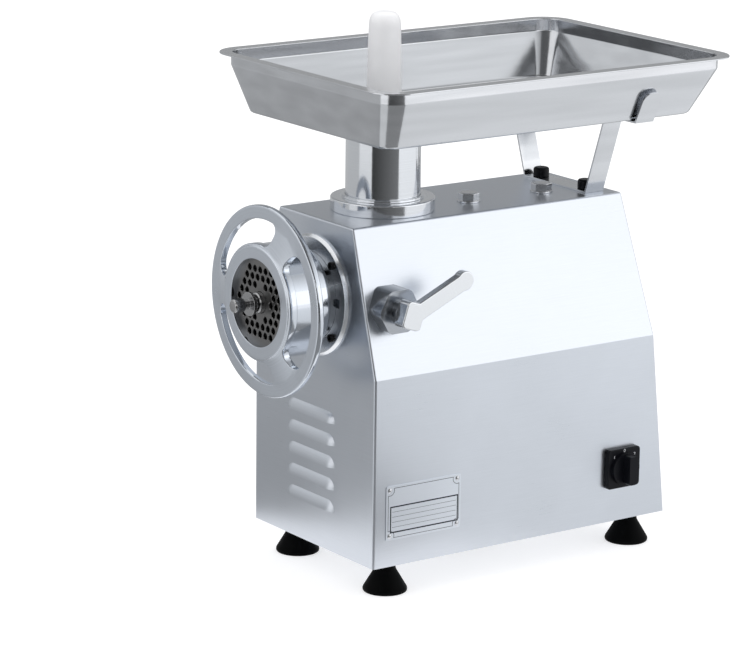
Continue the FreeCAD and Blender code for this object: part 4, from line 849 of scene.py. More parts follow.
class Repeats:
    """Geometry node trees for what repeats. Each copies a tool to points."""

    row_shift = 0.5
    row_rise = math.sqrt(0.75)

    def __init__(self) -> None:
        """Builds the trees."""
        self.scatter = self.make_scatter()
        self.perforate = self.make_perforate()
        self.flute = self.make_flute()

    def start(self, name: str, source: str, takes: dict[str, str]) -> tuple[Wiring, bpy.types.NodeOutputs]:
        """Starts a tree.

        Args:
            name: Name of the tree.
            source: Name of the geometry that it starts from.
            takes: Type of each further input by name, beside the tool and its finish.

        Returns:
            The tree and its inputs.
        """
        inputs = {source: GEOMETRY, "Tool": OBJECT, **takes, "Finish": MATERIAL}
        wires = Wiring(new_tree(name, "GeometryNodeTree", inputs, {"Geometry": GEOMETRY}))
        return wires, wires.node("NodeGroupInput").outputs

    def copies(self, wires: Wiring, tool: bpy.types.NodeSocket,
               inputs: dict[str, bpy.types.NodeSocket]) -> bpy.types.NodeSocket:
        """Copies an object to points, which the inputs name."""
        single = wires.node("GeometryNodeObjectInfo", {"Object": tool}).outputs["Geometry"]
        return wires.node("GeometryNodeInstanceOnPoints", {**inputs, "Instance": single}).outputs[0]

    def cut(self, wires: Wiring, given: bpy.types.NodeOutputs, source: str,
            points: bpy.types.NodeSocket) -> None:
        """Cuts the tool out of a piece at every point, moved by the centre, and ends the tree.

        Args:
            wires: Tree to end.
            given: Its inputs.
            source: Name of the piece among them.
            points: Points about the origin.
        """
        placed = wires.node("GeometryNodeSetPosition", {"Geometry": points, "Offset": given["Centre"]})
        copies = self.copies(wires, given["Tool"], {"Points": placed.outputs[0]})
        tools = wires.node("GeometryNodeRealizeInstances", {0: copies})
        done = wires.node("GeometryNodeMeshBoolean", {"Mesh 1": given[source], "Mesh 2": tools.outputs[0]},
                          operation="DIFFERENCE")
        self.close(wires, done.outputs["Mesh"], given["Finish"])

    def close(self, wires: Wiring, geometry: bpy.types.NodeSocket, finish: bpy.types.NodeSocket) -> None:
        """Ends a tree with real geometry and its material.

        Args:
            wires: Tree to end.
            geometry: Geometry so far.
            finish: Material socket.
        """
        real = wires.node("GeometryNodeRealizeInstances", {0: geometry})
        done = wires.node("GeometryNodeSetMaterial", {"Geometry": real.outputs[0], "Material": finish})
        wires.node("NodeGroupOutput", {0: done.outputs[0]})

    def make_scatter(self) -> bpy.types.NodeTree:
        """Copies a fastener to every vertex.

        Returns:
            The tree.
        """
        wires, given = self.start("fasteners", "Points", {"Turn": VECTOR})
        copies = self.copies(wires, given["Tool"], {"Points": given["Points"], "Rotation": given["Turn"]})
        self.close(wires, copies, given["Finish"])
        return wires.tree

    def make_perforate(self) -> bpy.types.NodeTree:
        """Cuts a hexagonal field of holes, in the plane square to Y, out of a plate.

        Returns:
            The tree.
        """
        takes = {"Centre": VECTOR, "Rings": WHOLE, "Pitch": NUMBER, "Hub": NUMBER}
        wires, given = self.start("perforations", "Plate", takes)
        across = wires.math("MULTIPLY", given["Rings"], 2.0)
        count = wires.math("ADD", across, 1.0)
        grid = wires.node("GeometryNodeMeshGrid", {"Size X": across, "Size Y": across, "Vertices X": count,
                                                   "Vertices Y": count})
        place = wires.node("GeometryNodeInputPosition").outputs[0]
        parts = wires.node("ShaderNodeSeparateXYZ", {0: place}).outputs
        outside = wires.math("GREATER_THAN", wires.math("ABSOLUTE", wires.math("ADD", parts[0], parts[1])),
                             wires.math("ADD", given["Rings"], 0.5))
        hexagon = wires.node("GeometryNodeDeleteGeometry", {"Geometry": grid.outputs["Mesh"],
                                                            "Selection": outside})
        sideways = wires.math("ADD", parts[0], wires.math("MULTIPLY", parts[1], self.row_shift))
        upwards = wires.math("MULTIPLY", parts[1], self.row_rise)
        spot = wires.node("ShaderNodeCombineXYZ", {0: wires.math("MULTIPLY", sideways, given["Pitch"]),
                                                   2: wires.math("MULTIPLY", upwards, given["Pitch"])})
        lattice = wires.node("GeometryNodeSetPosition", {"Geometry": hexagon.outputs[0],
                                                         "Position": spot.outputs[0]})
        away = wires.node("ShaderNodeVectorMath", {0: place}, operation="LENGTH").outputs["Value"]
        ringed = wires.node("GeometryNodeDeleteGeometry",
                            {"Geometry": lattice.outputs[0],
                             "Selection": wires.math("LESS_THAN", away, given["Hub"])})
        self.cut(wires, given, "Plate", ringed.outputs[0])
        return wires.tree

    def make_flute(self) -> bpy.types.NodeTree:
        """Cuts upright flutes into a knob's edge.

        Returns:
            The tree.
        """
        wires, given = self.start("flutes", "Knob", {"Centre": VECTOR, "Count": WHOLE, "Radius": NUMBER})
        circle = wires.node("GeometryNodeMeshCircle", {"Vertices": given["Count"],
                                                       "Radius": given["Radius"]})
        self.cut(wires, given, "Knob", circle.outputs[0])
        return wires.tree

    def run(self, piece: bpy.types.Object, tree: bpy.types.NodeTree, tool: bpy.types.Object,
            **values: object) -> bpy.types.Object:
        """Runs a tree on an object and keeps the result as its mesh.

        Args:
            piece: Object that the tree starts from.
            tree: Tree to run.
            tool: Object that the tree copies, which is removed afterwards.
            values: Further inputs by name.

        Returns:
            The same object.
        """
        modifier = piece.modifiers.new("repeat", "NODES")
        modifier.node_group = tree
        given = {"Tool": tool, **values}
        for socket in tree.interface.items_tree:
            if socket.in_out == "INPUT" and socket.name in given:
                modifier[socket.identifier] = given[socket.name]
        settled(piece)
        bpy.data.objects.remove(tool)
        shade(piece.data)
        return piece


# Pieces


@dataclass
class SubAssembly:
    """Part of the machine that builds its pieces and dresses them.

    Sizes are in millimetres, turns in radians and limits of smooth shading in degrees.
    """

    palette: Palette
    repeats: Repeats

    def build(self) -> None:
        """Makes the pieces."""
        raise NotImplementedError

    def keep(self, piece: bpy.types.Object, body: Body, slot: Slot, nodes: Sequence[str] = (),
             finish: Finish | None = None) -> None:
        """Dresses a piece and joins it to its body.

        Args:
            piece: Finished object.
            body: Body that it moves with.
            slot: Material slot.
            nodes: CAD nodes that it stands for.
            finish: Finish in place of the slot's own.
        """
        material = self.palette.extra(finish) if finish else self.palette.by_slot[slot]
        piece.data.materials.clear()
        piece.data.materials.append(material)
        if nodes:
            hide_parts(*nodes)
        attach(piece, body.value)
        LOG.info("piece %s rides on %s: %d faces", piece.name, body.value, len(piece.data.polygons))

    def soften(self, name: str, node: str, edge: float, body: Body, slot: Slot, finish: Finish | None = None,
               segments: int = 3) -> None:
        """Keeps a copy of a CAD node with rounded edges in its place.

        Args:
            name: Name of the copy.
            node: CAD node.
            edge: Width of the rounded edges.
            body: Body that it moves with.
            slot: Material slot.
            finish: Finish in place of the slot's own.
            segments: Steps of the round.
        """
        self.keep(softened(name, node, edge, segments), body, slot, [node], finish)

    def fasten(self, name: str, fastener: bpy.types.Object, places: Iterable[Vector], slot: Slot,
               turn: Triple = (0.0, 0.0, 0.0)) -> bpy.types.Object:
        """Copies a fastener to places.

        Args:
            name: Name of the object.
            fastener: Single fastener at the origin, which is removed afterwards.
            places: Places in metres.
            slot: Material slot.
            turn: Turn of each copy in radians.

        Returns:
            The object with all the copies.
        """
        mesh = bpy.data.meshes.new(name)
        mesh.from_pydata([tuple(place) for place in places], [], [])
        return self.repeats.run(new_object(name, mesh), self.repeats.scatter, fastener, Turn=turn,
                                Finish=self.palette.by_slot[slot])


@dataclass
class Casing(SubAssembly):
    """Feet of the folded casing, and the fasteners on it."""

    foot_nodes: tuple[str, ...] = (
        "foot_front_right", "foot_front_left", "foot_rear_right", "foot_rear_left")
    foot: Profile = (
        Turn(0, 0), Turn(22.0, 0, 0.8), Turn(23.0, 1.2, 0.8), Turn(23.0, 3.4, 1.2), Turn(10.8, 24.0, 2.0),
        Turn(10.8, 35.0), Turn(0, 35.0))
    bolt_head: Profile = (
        Turn(6.0, 0), Turn(12.0, 0, 0.3), Turn(12.0, 2.0, 0.4), Turn(9.5, 2.0, sides=6),
        Turn(9.5, 9.2, 0.5, 6), Turn(8.8, 10.0, 0.4), Turn(0, 10.0))
    bolt_tip: float = 0.8
    bolt_turn: float = 0.35
    bolt_x: float = 20.0
    screw: Profile = (
        Turn(0, 1.2), Turn(1.5, 1.2, sides=6), Turn(1.5, 2.6, sides=6), Turn(3.2, 2.6, 0.8),
        Turn(4.8, 0.9, 0.8), Turn(4.8, 0), Turn(2.5, 0), Turn(2.5, -10.0), Turn(0, -10.0))
    screw_edge: float = 9.0
    screw_rows: int = 3
    bottom: float = 35.0
    height: float = 345.0
    shoulder: float = 197.0
    half: float = 108.5
    top_half: float = 66.0
    back: float = 219.0
    back_lean: float = 36.5

    def build(self) -> None:
        """Makes the feet, the bolts and the screws."""
        for node in self.foot_nodes:
            low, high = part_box(node)
            centre = Vector(((low.x + high.x) / 2, (low.y + high.y) / 2, 0.0))
            self.keep(turned(node + "_bell", self.foot, Axis.Z, centre), Body.CABINET, Slot.FOOT, [node])
        self.keep(self.make_bolts(), Body.CABINET, Slot.FASTENER, ["top_bolts"])
        self.keep(self.make_rear_screws(), Body.CABINET, Slot.FASTENER, ["rear_panel_screws"])

    def make_bolts(self) -> bpy.types.Object:
        """Hexagon bolts with washers on the top plate.

        Returns:
            The object.
        """
        low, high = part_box("top_bolts")
        seat = high.z / MM - self.bolt_head[-1].along
        tip = low.z / MM - seat
        shank = [Turn(0, tip), Turn(self.bolt_head[0].radius, tip, self.bolt_tip)]
        bolt = turned("hex_bolt", [*shank, *self.bolt_head], Axis.Z, ORIGIN)
        washer = self.bolt_head[1].radius * MM
        places = [Vector((self.bolt_x * MM, y, seat * MM)) for y in (low.y + washer, high.y - washer)]
        return self.fasten("hung_bolts", bolt, places, Slot.FASTENER, (0.0, 0.0, self.bolt_turn))

    def make_rear_screws(self) -> bpy.types.Object:
        """Domed screws down both edges of the rear panel.

        Returns:
            The object.
        """
        screw = turned("dome_screw", self.screw, Axis.Y, ORIGIN, SCREW_STEPS)
        places = []
        for row in range(self.screw_rows):
            rise = self.screw_edge + (self.height - 2 * self.screw_edge) * row / (self.screw_rows - 1)
            share = max(rise - self.shoulder, 0.0) / (self.height - self.shoulder)
            reach = self.half + (self.top_half - self.half) * share - self.screw_edge
            depth = self.back - self.back_lean * rise / self.height
            places += [Vector((side * reach, depth, self.bottom + rise)) * MM for side in (-1, 1)]
        lean = math.atan2(self.back_lean, self.height)
        return self.fasten("rear_screws", screw, places, Slot.FASTENER, (lean, 0.0, 0.0))


@dataclass
class Handwheel(SubAssembly):
    """Ring nut with a dished wheel, meshed in loops round the windows between its spokes.

    The window has its two radii. Front and back are the depths of the web's faces at the body and the rim.
    """

    opening: float = 45.0
    bore: float = 53.6
    body: float = 59.0
    window: tuple[float, float] = (60.6, 84.5)
    rim: float = 98.4
    front: tuple[float, float] = (1.5, 9.9)
    back: tuple[float, float] = (10.5, 17.4)
    length: float = 50.0
    lip: float = 5.6
    spokes: int = 3
    spoke_width: float = 33.0
    corner: float = 10.0
    fillet: float = 1.1
    margin: float = 1.6
    face_slope: float = 1.6
    face_round: float = 0.9
    mouth_round: float = 1.0
    bore_round: float = 0.4
    skirt_round: float = 1.4
    root_gap: float = 2.0
    root_round: float = 0.8
    tyre_round: float = 2.8
    corner_steps: int = 20
    long_steps: int = 32
    short_steps: int = 4
    smooth: float = 40.0
    face: float = 0.0

    def build(self) -> None:
        """Makes the nut."""
        self.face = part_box("handwheel_nut")[0].y
        self.keep(self.make_nut(), Body.HANDWHEEL, Slot.POLISHED, ["handwheel_nut"], WHEEL_STEEL)

    @property
    def middle(self) -> float:
        """Radius midway across a window."""
        return (self.window[0] + self.window[1]) / 2

    def depth(self, radius: float, ends: tuple[float, float]) -> float:
        """Depth of a web's face behind the nut's front, from those at the body and at the rim."""
        share = min(max((radius - self.body) / (self.window[1] - self.body), 0.0), 1.0)
        return ends[0] + (ends[1] - ends[0]) * share

    def place(self, turn: float, radius: float, depth: float) -> Vector:
        """Point of the wheel in metres, from its angle, its radius and its depth behind the nut's front."""
        return Vector((radius * MM * math.cos(turn), self.face + depth * MM,
                       SCREW_AXIS[2] + radius * MM * math.sin(turn)))

    def outlines(self, offset: float) -> tuple[list[Vector], list[Vector]]:
        """Outline of a window, and of the field round it, point for point.

        Args:
            offset: Distance of the first outline from the window's wall.

        Returns:
            Both outlines, as arc length at the middle radius and distance outwards from it.
        """
        half_arc = self.middle * math.pi / self.spokes
        half = Vector((half_arc - self.spoke_width / 2, self.window[1] - self.middle))
        reach = Vector((half_arc, half.y + self.margin))
        core = half - Vector((self.corner, self.corner))
        hole: list[Vector] = []
        field_edge: list[Vector] = []
        signs = ((1, 1), (-1, 1), (-1, -1), (1, -1))
        centres = [Vector((core.x * across, core.y * up)) for across, up in signs]
        for quarter, centre in enumerate(centres):
            for step in range(self.corner_steps + 1):
                turn = QUARTER * (quarter + step / self.corner_steps)
                lead = Vector((math.cos(turn), math.sin(turn)))
                hole.append(centre + lead * (self.corner + offset))
                widest = max(abs(lead.x), abs(lead.y))
                field_edge.append(Vector((centre.x + (reach.x - core.x) * lead.x / widest,
                                          centre.y + (reach.y - core.y) * lead.y / widest)))
            count = self.long_steps if quarter % 2 == 0 else self.short_steps
            side = centres[(quarter + 1) % len(centres)] - centre
            for step in range(1, count):
                run = side * (step / count)
                hole.append(hole[-step] + run)
                field_edge.append(field_edge[-step] + run)
        return hole, field_edge

    def web_loop(self, turn: float, outline: Sequence[Vector], ends: tuple[float, float],
                 sunk: float) -> list[Vector]:
        """Lays an outline on a face of the web.

        Args:
            turn: Angle of the window's middle.
            outline: Outline of a window or of its field.
            ends: Depths of the face at the body and at the rim.
            sunk: Depth below the face.

        Returns:
            Points in metres.
        """
        return [self.place(turn + point.x / self.middle, self.middle + point.y,
                           self.depth(self.middle + point.y, ends) + sunk) for point in outline]

    def make_window(self, work: bmesh.types.BMesh, turn: float) -> None:
        """Adds the web round one window, with rounded edges.

        Args:
            work: Edit mesh that takes the faces.
            turn: Angle of the window's middle.
        """
        edge = self.outlines(0.0)[1]
        fronts = [self.web_loop(turn, edge, self.front, 0.0)]
        backs = [self.web_loop(turn, edge, self.back, 0.0)]
        for step in range(ARC_STEPS + 1):
            bend = QUARTER * step / ARC_STEPS
            outline = self.outlines(self.fillet * (1 - math.sin(bend)))[0]
            sunk = self.fillet * (1 - math.cos(bend))
            fronts.append(self.web_loop(turn, outline, self.front, sunk))
            backs.append(self.web_loop(turn, outline, self.back, -sunk))
        skin(work, fronts + backs[::-1], False)

    def make_nut(self) -> bpy.types.Object:
        """Nut and wheel.

        Returns:
            The object.
        """
        work = bmesh.new()
        edge = [point for point in self.outlines(0.0)[1] if point.y > self.window[1] - self.middle + MERGE]
        sector = 2 * math.pi / self.spokes
        turns: list[float] = []
        for step in range(self.spokes):
            self.make_window(work, -sector * step)
            turns += [point.x / self.middle - sector * step for point in edge[:-1]]
        inner = self.window[0] - self.margin
        outer = self.window[1] + self.margin
        hub = [Turn(inner, self.depth(inner, self.front)),
               Turn(self.body - self.face_slope, 0, self.face_round),
               Turn(self.opening, 0, self.mouth_round), Turn(self.opening, self.lip),
               Turn(self.bore, self.lip), Turn(self.bore, self.length, self.bore_round),
               Turn(self.body, self.length, self.skirt_round),
               Turn(self.body, self.back[0] + self.root_gap, self.root_round),
               Turn(inner, self.depth(inner, self.back))]
        tyre = [Turn(outer, self.front[1]), Turn(self.rim, self.front[1], self.tyre_round),
                Turn(self.rim, self.back[1], self.tyre_round), Turn(outer, self.back[1])]
        for profile in (hub, tyre):
            path = rounded_profile(profile, False)
            skin(work, [[self.place(turn, point.x, point.y) for turn in turns] for point, _ in path], False)
        bmesh.ops.remove_doubles(work, verts=work.verts, dist=MERGE)
        return object_from("handwheel", work, self.smooth)


@dataclass
class GrindingHead(SubAssembly):
    """Perforated plate, stud, flange and its screws."""

    stud_edge: float = 0.5
    flange_edge: float = 0.4
    plate_bore: float = 11.2
    bore_round: float = 0.4
    plate_round: float = 0.8
    hole: float = 3.5
    countersink: float = 4.6
    countersink_depth: float = 0.55
    overcut: float = 1.0
    hole_rings: int = 4
    hole_pitch: float = 9.6
    hub_radius: float = 17.0
    screw_head: Profile = (
        Turn(0, 1.8), Turn(2.0, 1.8, sides=6), Turn(2.0, 0, sides=6), Turn(4.2, 0, 0.6), Turn(4.2, 3.0),
        Turn(2.5, 3.0))
    screw_circle: float = 53.0
    screw_count: int = 4

    def build(self) -> None:
        """Makes the pieces."""
        self.palette.redress_node("barrel", BARREL_STEEL)
        # The stud's finish is darkened as painted shade
        self.soften("stud", "front_stud", self.stud_edge, Body.FEED, Slot.POLISHED, STUD_STEEL_PAINTED_SHADE)
        self.soften("flange_ring", "head_flange", self.flange_edge, Body.CABINET, Slot.POLISHED, HEAD_STEEL)
        self.keep(self.make_plate(), Body.CABINET, Slot.PLATE, ["grinder_plate"])
        self.keep(self.make_screws(), Body.CABINET, Slot.BLACK_SCREW, ["head_flange_screws"])

    def make_plate(self) -> bpy.types.Object:
        """Plate with its field of holes.

        Returns:
            The object.
        """
        low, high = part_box("grinder_plate")
        centre = Vector((0.0, low.y, SCREW_AXIS[2]))
        radius = high.x / MM
        thick = (high.y - low.y) / MM
        plate = turned("mincing_plate", [Turn(self.plate_bore, 0, self.bore_round),
                                         Turn(radius, 0, self.plate_round),
                                         Turn(radius, thick, self.plate_round),
                                         Turn(self.plate_bore, thick, self.bore_round)], Axis.Y, centre)
        start = -self.overcut
        end = thick + self.overcut
        cutter = turned("hole_cutter", [Turn(0, start), Turn(self.countersink, start),
                                        Turn(self.hole, self.countersink_depth), Turn(self.hole, end),
                                        Turn(0, end)], Axis.Y, ORIGIN, PIN_STEPS)
        return self.repeats.run(plate, self.repeats.perforate, cutter, Centre=centre, Rings=self.hole_rings,
                                Pitch=self.hole_pitch * MM, Hub=self.hub_radius * MM,
                                Finish=self.palette.by_slot[Slot.PLATE])

    def make_screws(self) -> bpy.types.Object:
        """Black socket screws in the flange.

        Returns:
            The object.
        """
        low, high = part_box("head_flange_screws")
        profile = with_shank(self.screw_head, (high.y - low.y) / MM)
        screw = turned("socket_screw", profile, Axis.Y, ORIGIN, SCREW_STEPS)
        places = []
        for step in range(self.screw_count):
            turn = 2 * math.pi * (step + 0.5) / self.screw_count
            places.append(Vector((self.screw_circle * MM * math.cos(turn), low.y,
                                  SCREW_AXIS[2] + self.screw_circle * MM * math.sin(turn))))
        return self.fasten("flange_screws", screw, places, Slot.BLACK_SCREW)


@dataclass
class Clamp(SubAssembly):
    """Hexagonal boss, cross-drilled screw and lever."""

    boss_edge: float = 0.7
    screw_edge: float = 0.5
    lever_edge: float = 1.2

    def build(self) -> None:
        """Makes the pieces."""
        # The boss and the screw take a darker copy of the lever's steel as painted shade
        self.soften("clamp_nut", "clamp_boss", self.boss_edge, Body.CABINET, Slot.POLISHED, CLAMP_STEEL_PAINTED_SHADE)
        self.soften("clamp_spindle", "clamp_screw", self.screw_edge, Body.CLAMP, Slot.POLISHED, CLAMP_STEEL_PAINTED_SHADE)
        self.soften("lever", "clamp_lever", self.lever_edge, Body.CLAMP, Slot.POLISHED, LEVER_STEEL)


@dataclass
class Throat(SubAssembly):
    """Ring flange and pusher. The end of the pusher's grip is measured from its top."""

    flange_edge: float = 1.2
    plunger_length: float = 50.0
    plunger_rounds: tuple[float, float] = (3.0, 4.0)
    grip_foot: Turn = Turn(20.0, 64.0, 5.0)
    grip_end: Profile = (Turn(16.3, -9.5, 6.0), Turn(13.2, -2.4, 4.0), Turn(6.5, 0, 3.2), Turn(0, 0))
    smooth: float = 60.0

    def build(self) -> None:
        """Makes the pieces."""
        self.soften("throat_ring", "throat_flange", self.flange_edge, Body.CABINET, Slot.POLISHED)
        self.keep(self.make_pusher(), Body.PUSHER, Slot.PUSHER, ["pusher"])

    def make_pusher(self) -> bpy.types.Object:
        """Pusher with its plunger.

        Returns:
            The object.
        """
        low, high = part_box("pusher")
        plunger = high.x / MM
        tall = (high.z - low.z) / MM
        end = [Turn(corner.radius, tall + corner.along, corner.fillet) for corner in self.grip_end]
        profile = [Turn(0, 0), Turn(plunger, 0, self.plunger_rounds[0]),
                   Turn(plunger, self.plunger_length, self.plunger_rounds[1]), self.grip_foot, *end]
        return turned("stomper", profile, Axis.Z, Vector((0.0, THROAT[1], low.z)), angle=self.smooth)


@dataclass
class Tray(SubAssembly):
    """Loading tray drawn from one sheet.

    A box is half a width, a front and a back. The flare is measured from the collar's inside and the floor.
    """

    sheet: float = 1.5
    bend: float = 4.5
    wall_round: float = 1.0
    band_round: float = 0.6
    lip_round: float = 0.5
    rim_round: float = 0.9
    lip: float = 12.0
    floor: float = 469.0
    wall_top: float = 517.5
    top: float = 531.0
    floor_box: Triple = (126.0, -165.0, 227.5)
    wall_box: Triple = (149.0, -177.5, 249.5)
    floor_margin: float = 12.0
    corners: tuple[float, float] = (16.0, 22.0)
    least_corner: float = 2.0
    collar: float = 36.2
    collar_wall: float = 1.2
    flare: tuple[tuple[float, float], ...] = ((0.0, -1.5), (1.2, 0.9))
    flare_width: float = 3.5
    arc: int = 12
    run: int = 24
    smooth: float = 50.0

    def outline(self, share: float, inset: float, height: float) -> list[Vector]:
        """Level rounded rectangle.

        Args:
            share: 0 at the floor and 1 at the top of the sloped walls.
            inset: Distance inwards in millimetres.
            height: Height in millimetres.

        Returns:
            Points of the outline in metres, in order round it.
        """
        half, front, back = (low + (high - low) * share for low, high in zip(self.floor_box, self.wall_box))
        corner = self.corners[0] + (self.corners[1] - self.corners[0]) * share - inset
        corner = max(self.least_corner, corner)
        right = half - inset - corner
        rear = back - inset - corner
        fore = front + inset + corner
        spots = ((right, rear), (-right, rear), (-right, fore), (right, fore))
        middles = [Vector((x, y, height)) for x, y in spots]
        points = []
        for quarter, middle in enumerate(middles):
            for step in range(self.arc + 1):
                turn = QUARTER * (quarter + step / self.arc)
                points.append((middle + Vector((math.cos(turn), math.sin(turn), 0.0)) * corner) * MM)
            side = (middles[(quarter + 1) % len(middles)] - middle) * MM
            points += [points[-1] + side * (step / self.run) for step in range(1, self.run)]
        return points

    def hole(self, radius: float, height: float) -> list[Vector]:
        """Circle round the throat, each point in line with one of the floor's outline.

        Args:
            radius: Radius in millimetres.
            height: Height in millimetres.

        Returns:
            Points in metres.
        """
        middle = Vector(THROAT)
        points = []
        for point in self.outline(0.0, self.floor_margin, 0.0):
            away = (point - middle).normalized() * radius * MM
            points.append(middle + away + Vector((0.0, 0.0, height * MM)))
        return points

    def build(self) -> None:
        """Makes the tray."""
        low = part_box("tray")[0].z / MM
        outer = self.collar
        inner = outer - self.collar_wall
        tall = self.wall_top - self.floor
        under_lip = self.top - self.sheet
        inside = self.floor + self.sheet
        corners = [(0.0, self.floor_margin, self.floor, 0.0), (0.0, 0.0, self.floor, self.bend),
                   (1.0, 0.0, self.wall_top, self.wall_round), (1.0, 0.0, under_lip, self.band_round),
                   (1.0, -self.lip, under_lip, self.lip_round), (1.0, -self.lip, self.top, self.lip_round),
                   (1.0, self.sheet, self.top, self.rim_round),
                   (1.0, self.sheet, self.wall_top, self.wall_round), (0.0, self.sheet, inside, self.bend),
                   (0.0, self.floor_margin, inside, 0.0)]
        path = [Vector((share * tall, inset, height)) for share, inset, height, _ in corners]
        loops = [self.outline(point.x / tall, point.y, point.z)
                 for point, _ in rounded(path, [corner[3] for corner in corners], False)]
        hole = [(outer, self.floor), (outer, low), (inner, low)]
        hole += [(inner + out, self.floor + up) for out, up in self.flare]
        hole.append((inner + self.flare_width, inside))
        ring = [self.hole(radius, height) for radius, height in reversed(hole)]
        work = bmesh.new()
        skin(work, loops + ring, True)
        self.keep(object_from("tray_pan", work, self.smooth), Body.TRAY, Slot.TRAY, ["tray"])


@dataclass
class Bracket(SubAssembly):
    """Bent strip under the tray and its two knobs."""

    strip_edge: float = 0.35
    strip_segments: int = 2
    knob_height: float = 10.0
    knob_rounds: tuple[float, float] = (3.2, 0.8)
    stud: float = 3.0
    stud_tip: float = 0.4
    flute: Profile = (Turn(0, -11.0), Turn(1.2, -11.0), Turn(1.2, 2.0), Turn(0, 2.0))
    flute_offset: float = 0.2
    flute_count: int = 10

    def build(self) -> None:
        """Makes the pieces."""
        self.soften("strip", "tray_bracket", self.strip_edge, Body.CABINET, Slot.TRAY,
                    segments=self.strip_segments)
        for node, body in (("bracket_knob_right", Body.RIGHT_KNOB), ("bracket_knob_left", Body.LEFT_KNOB)):
            self.keep(self.make_knob(node), body, Slot.BLACK_PLASTIC, [node])

    def make_knob(self, node: str) -> bpy.types.Object:
        """Fluted knob on its stud.

        Args:
            node: Node that it stands for.

        Returns:
            The object.
        """
        low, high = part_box(node)
        centre = Vector(((low.x + high.x) / 2, (low.y + high.y) / 2, high.z))
        radius = (high.x - low.x) / MM / 2
        deep = (low.z - high.z) / MM
        underside = -self.knob_height
        knob = turned(node + "_fluted", [Turn(0, 0), Turn(radius, 0, self.knob_rounds[0]),
                                         Turn(radius, underside, self.knob_rounds[1]),
                                         Turn(self.stud, underside), Turn(self.stud, deep, self.stud_tip),
                                         Turn(0, deep)], Axis.Z, centre)
        flute = turned("flute", self.flute, Axis.Z, ORIGIN, FLUTE_STEPS)
        return self.repeats.run(knob, self.repeats.flute, flute, Centre=centre, Count=self.flute_count,
                                Radius=(radius + self.flute_offset) * MM,
                                Finish=self.palette.by_slot[Slot.BLACK_PLASTIC])


@dataclass(frozen=True)
class PlateBox:
    """Edges and face of the nameplate, in millimetres."""

    front: float
    back: float
    bottom: float
    top: float
    face: float


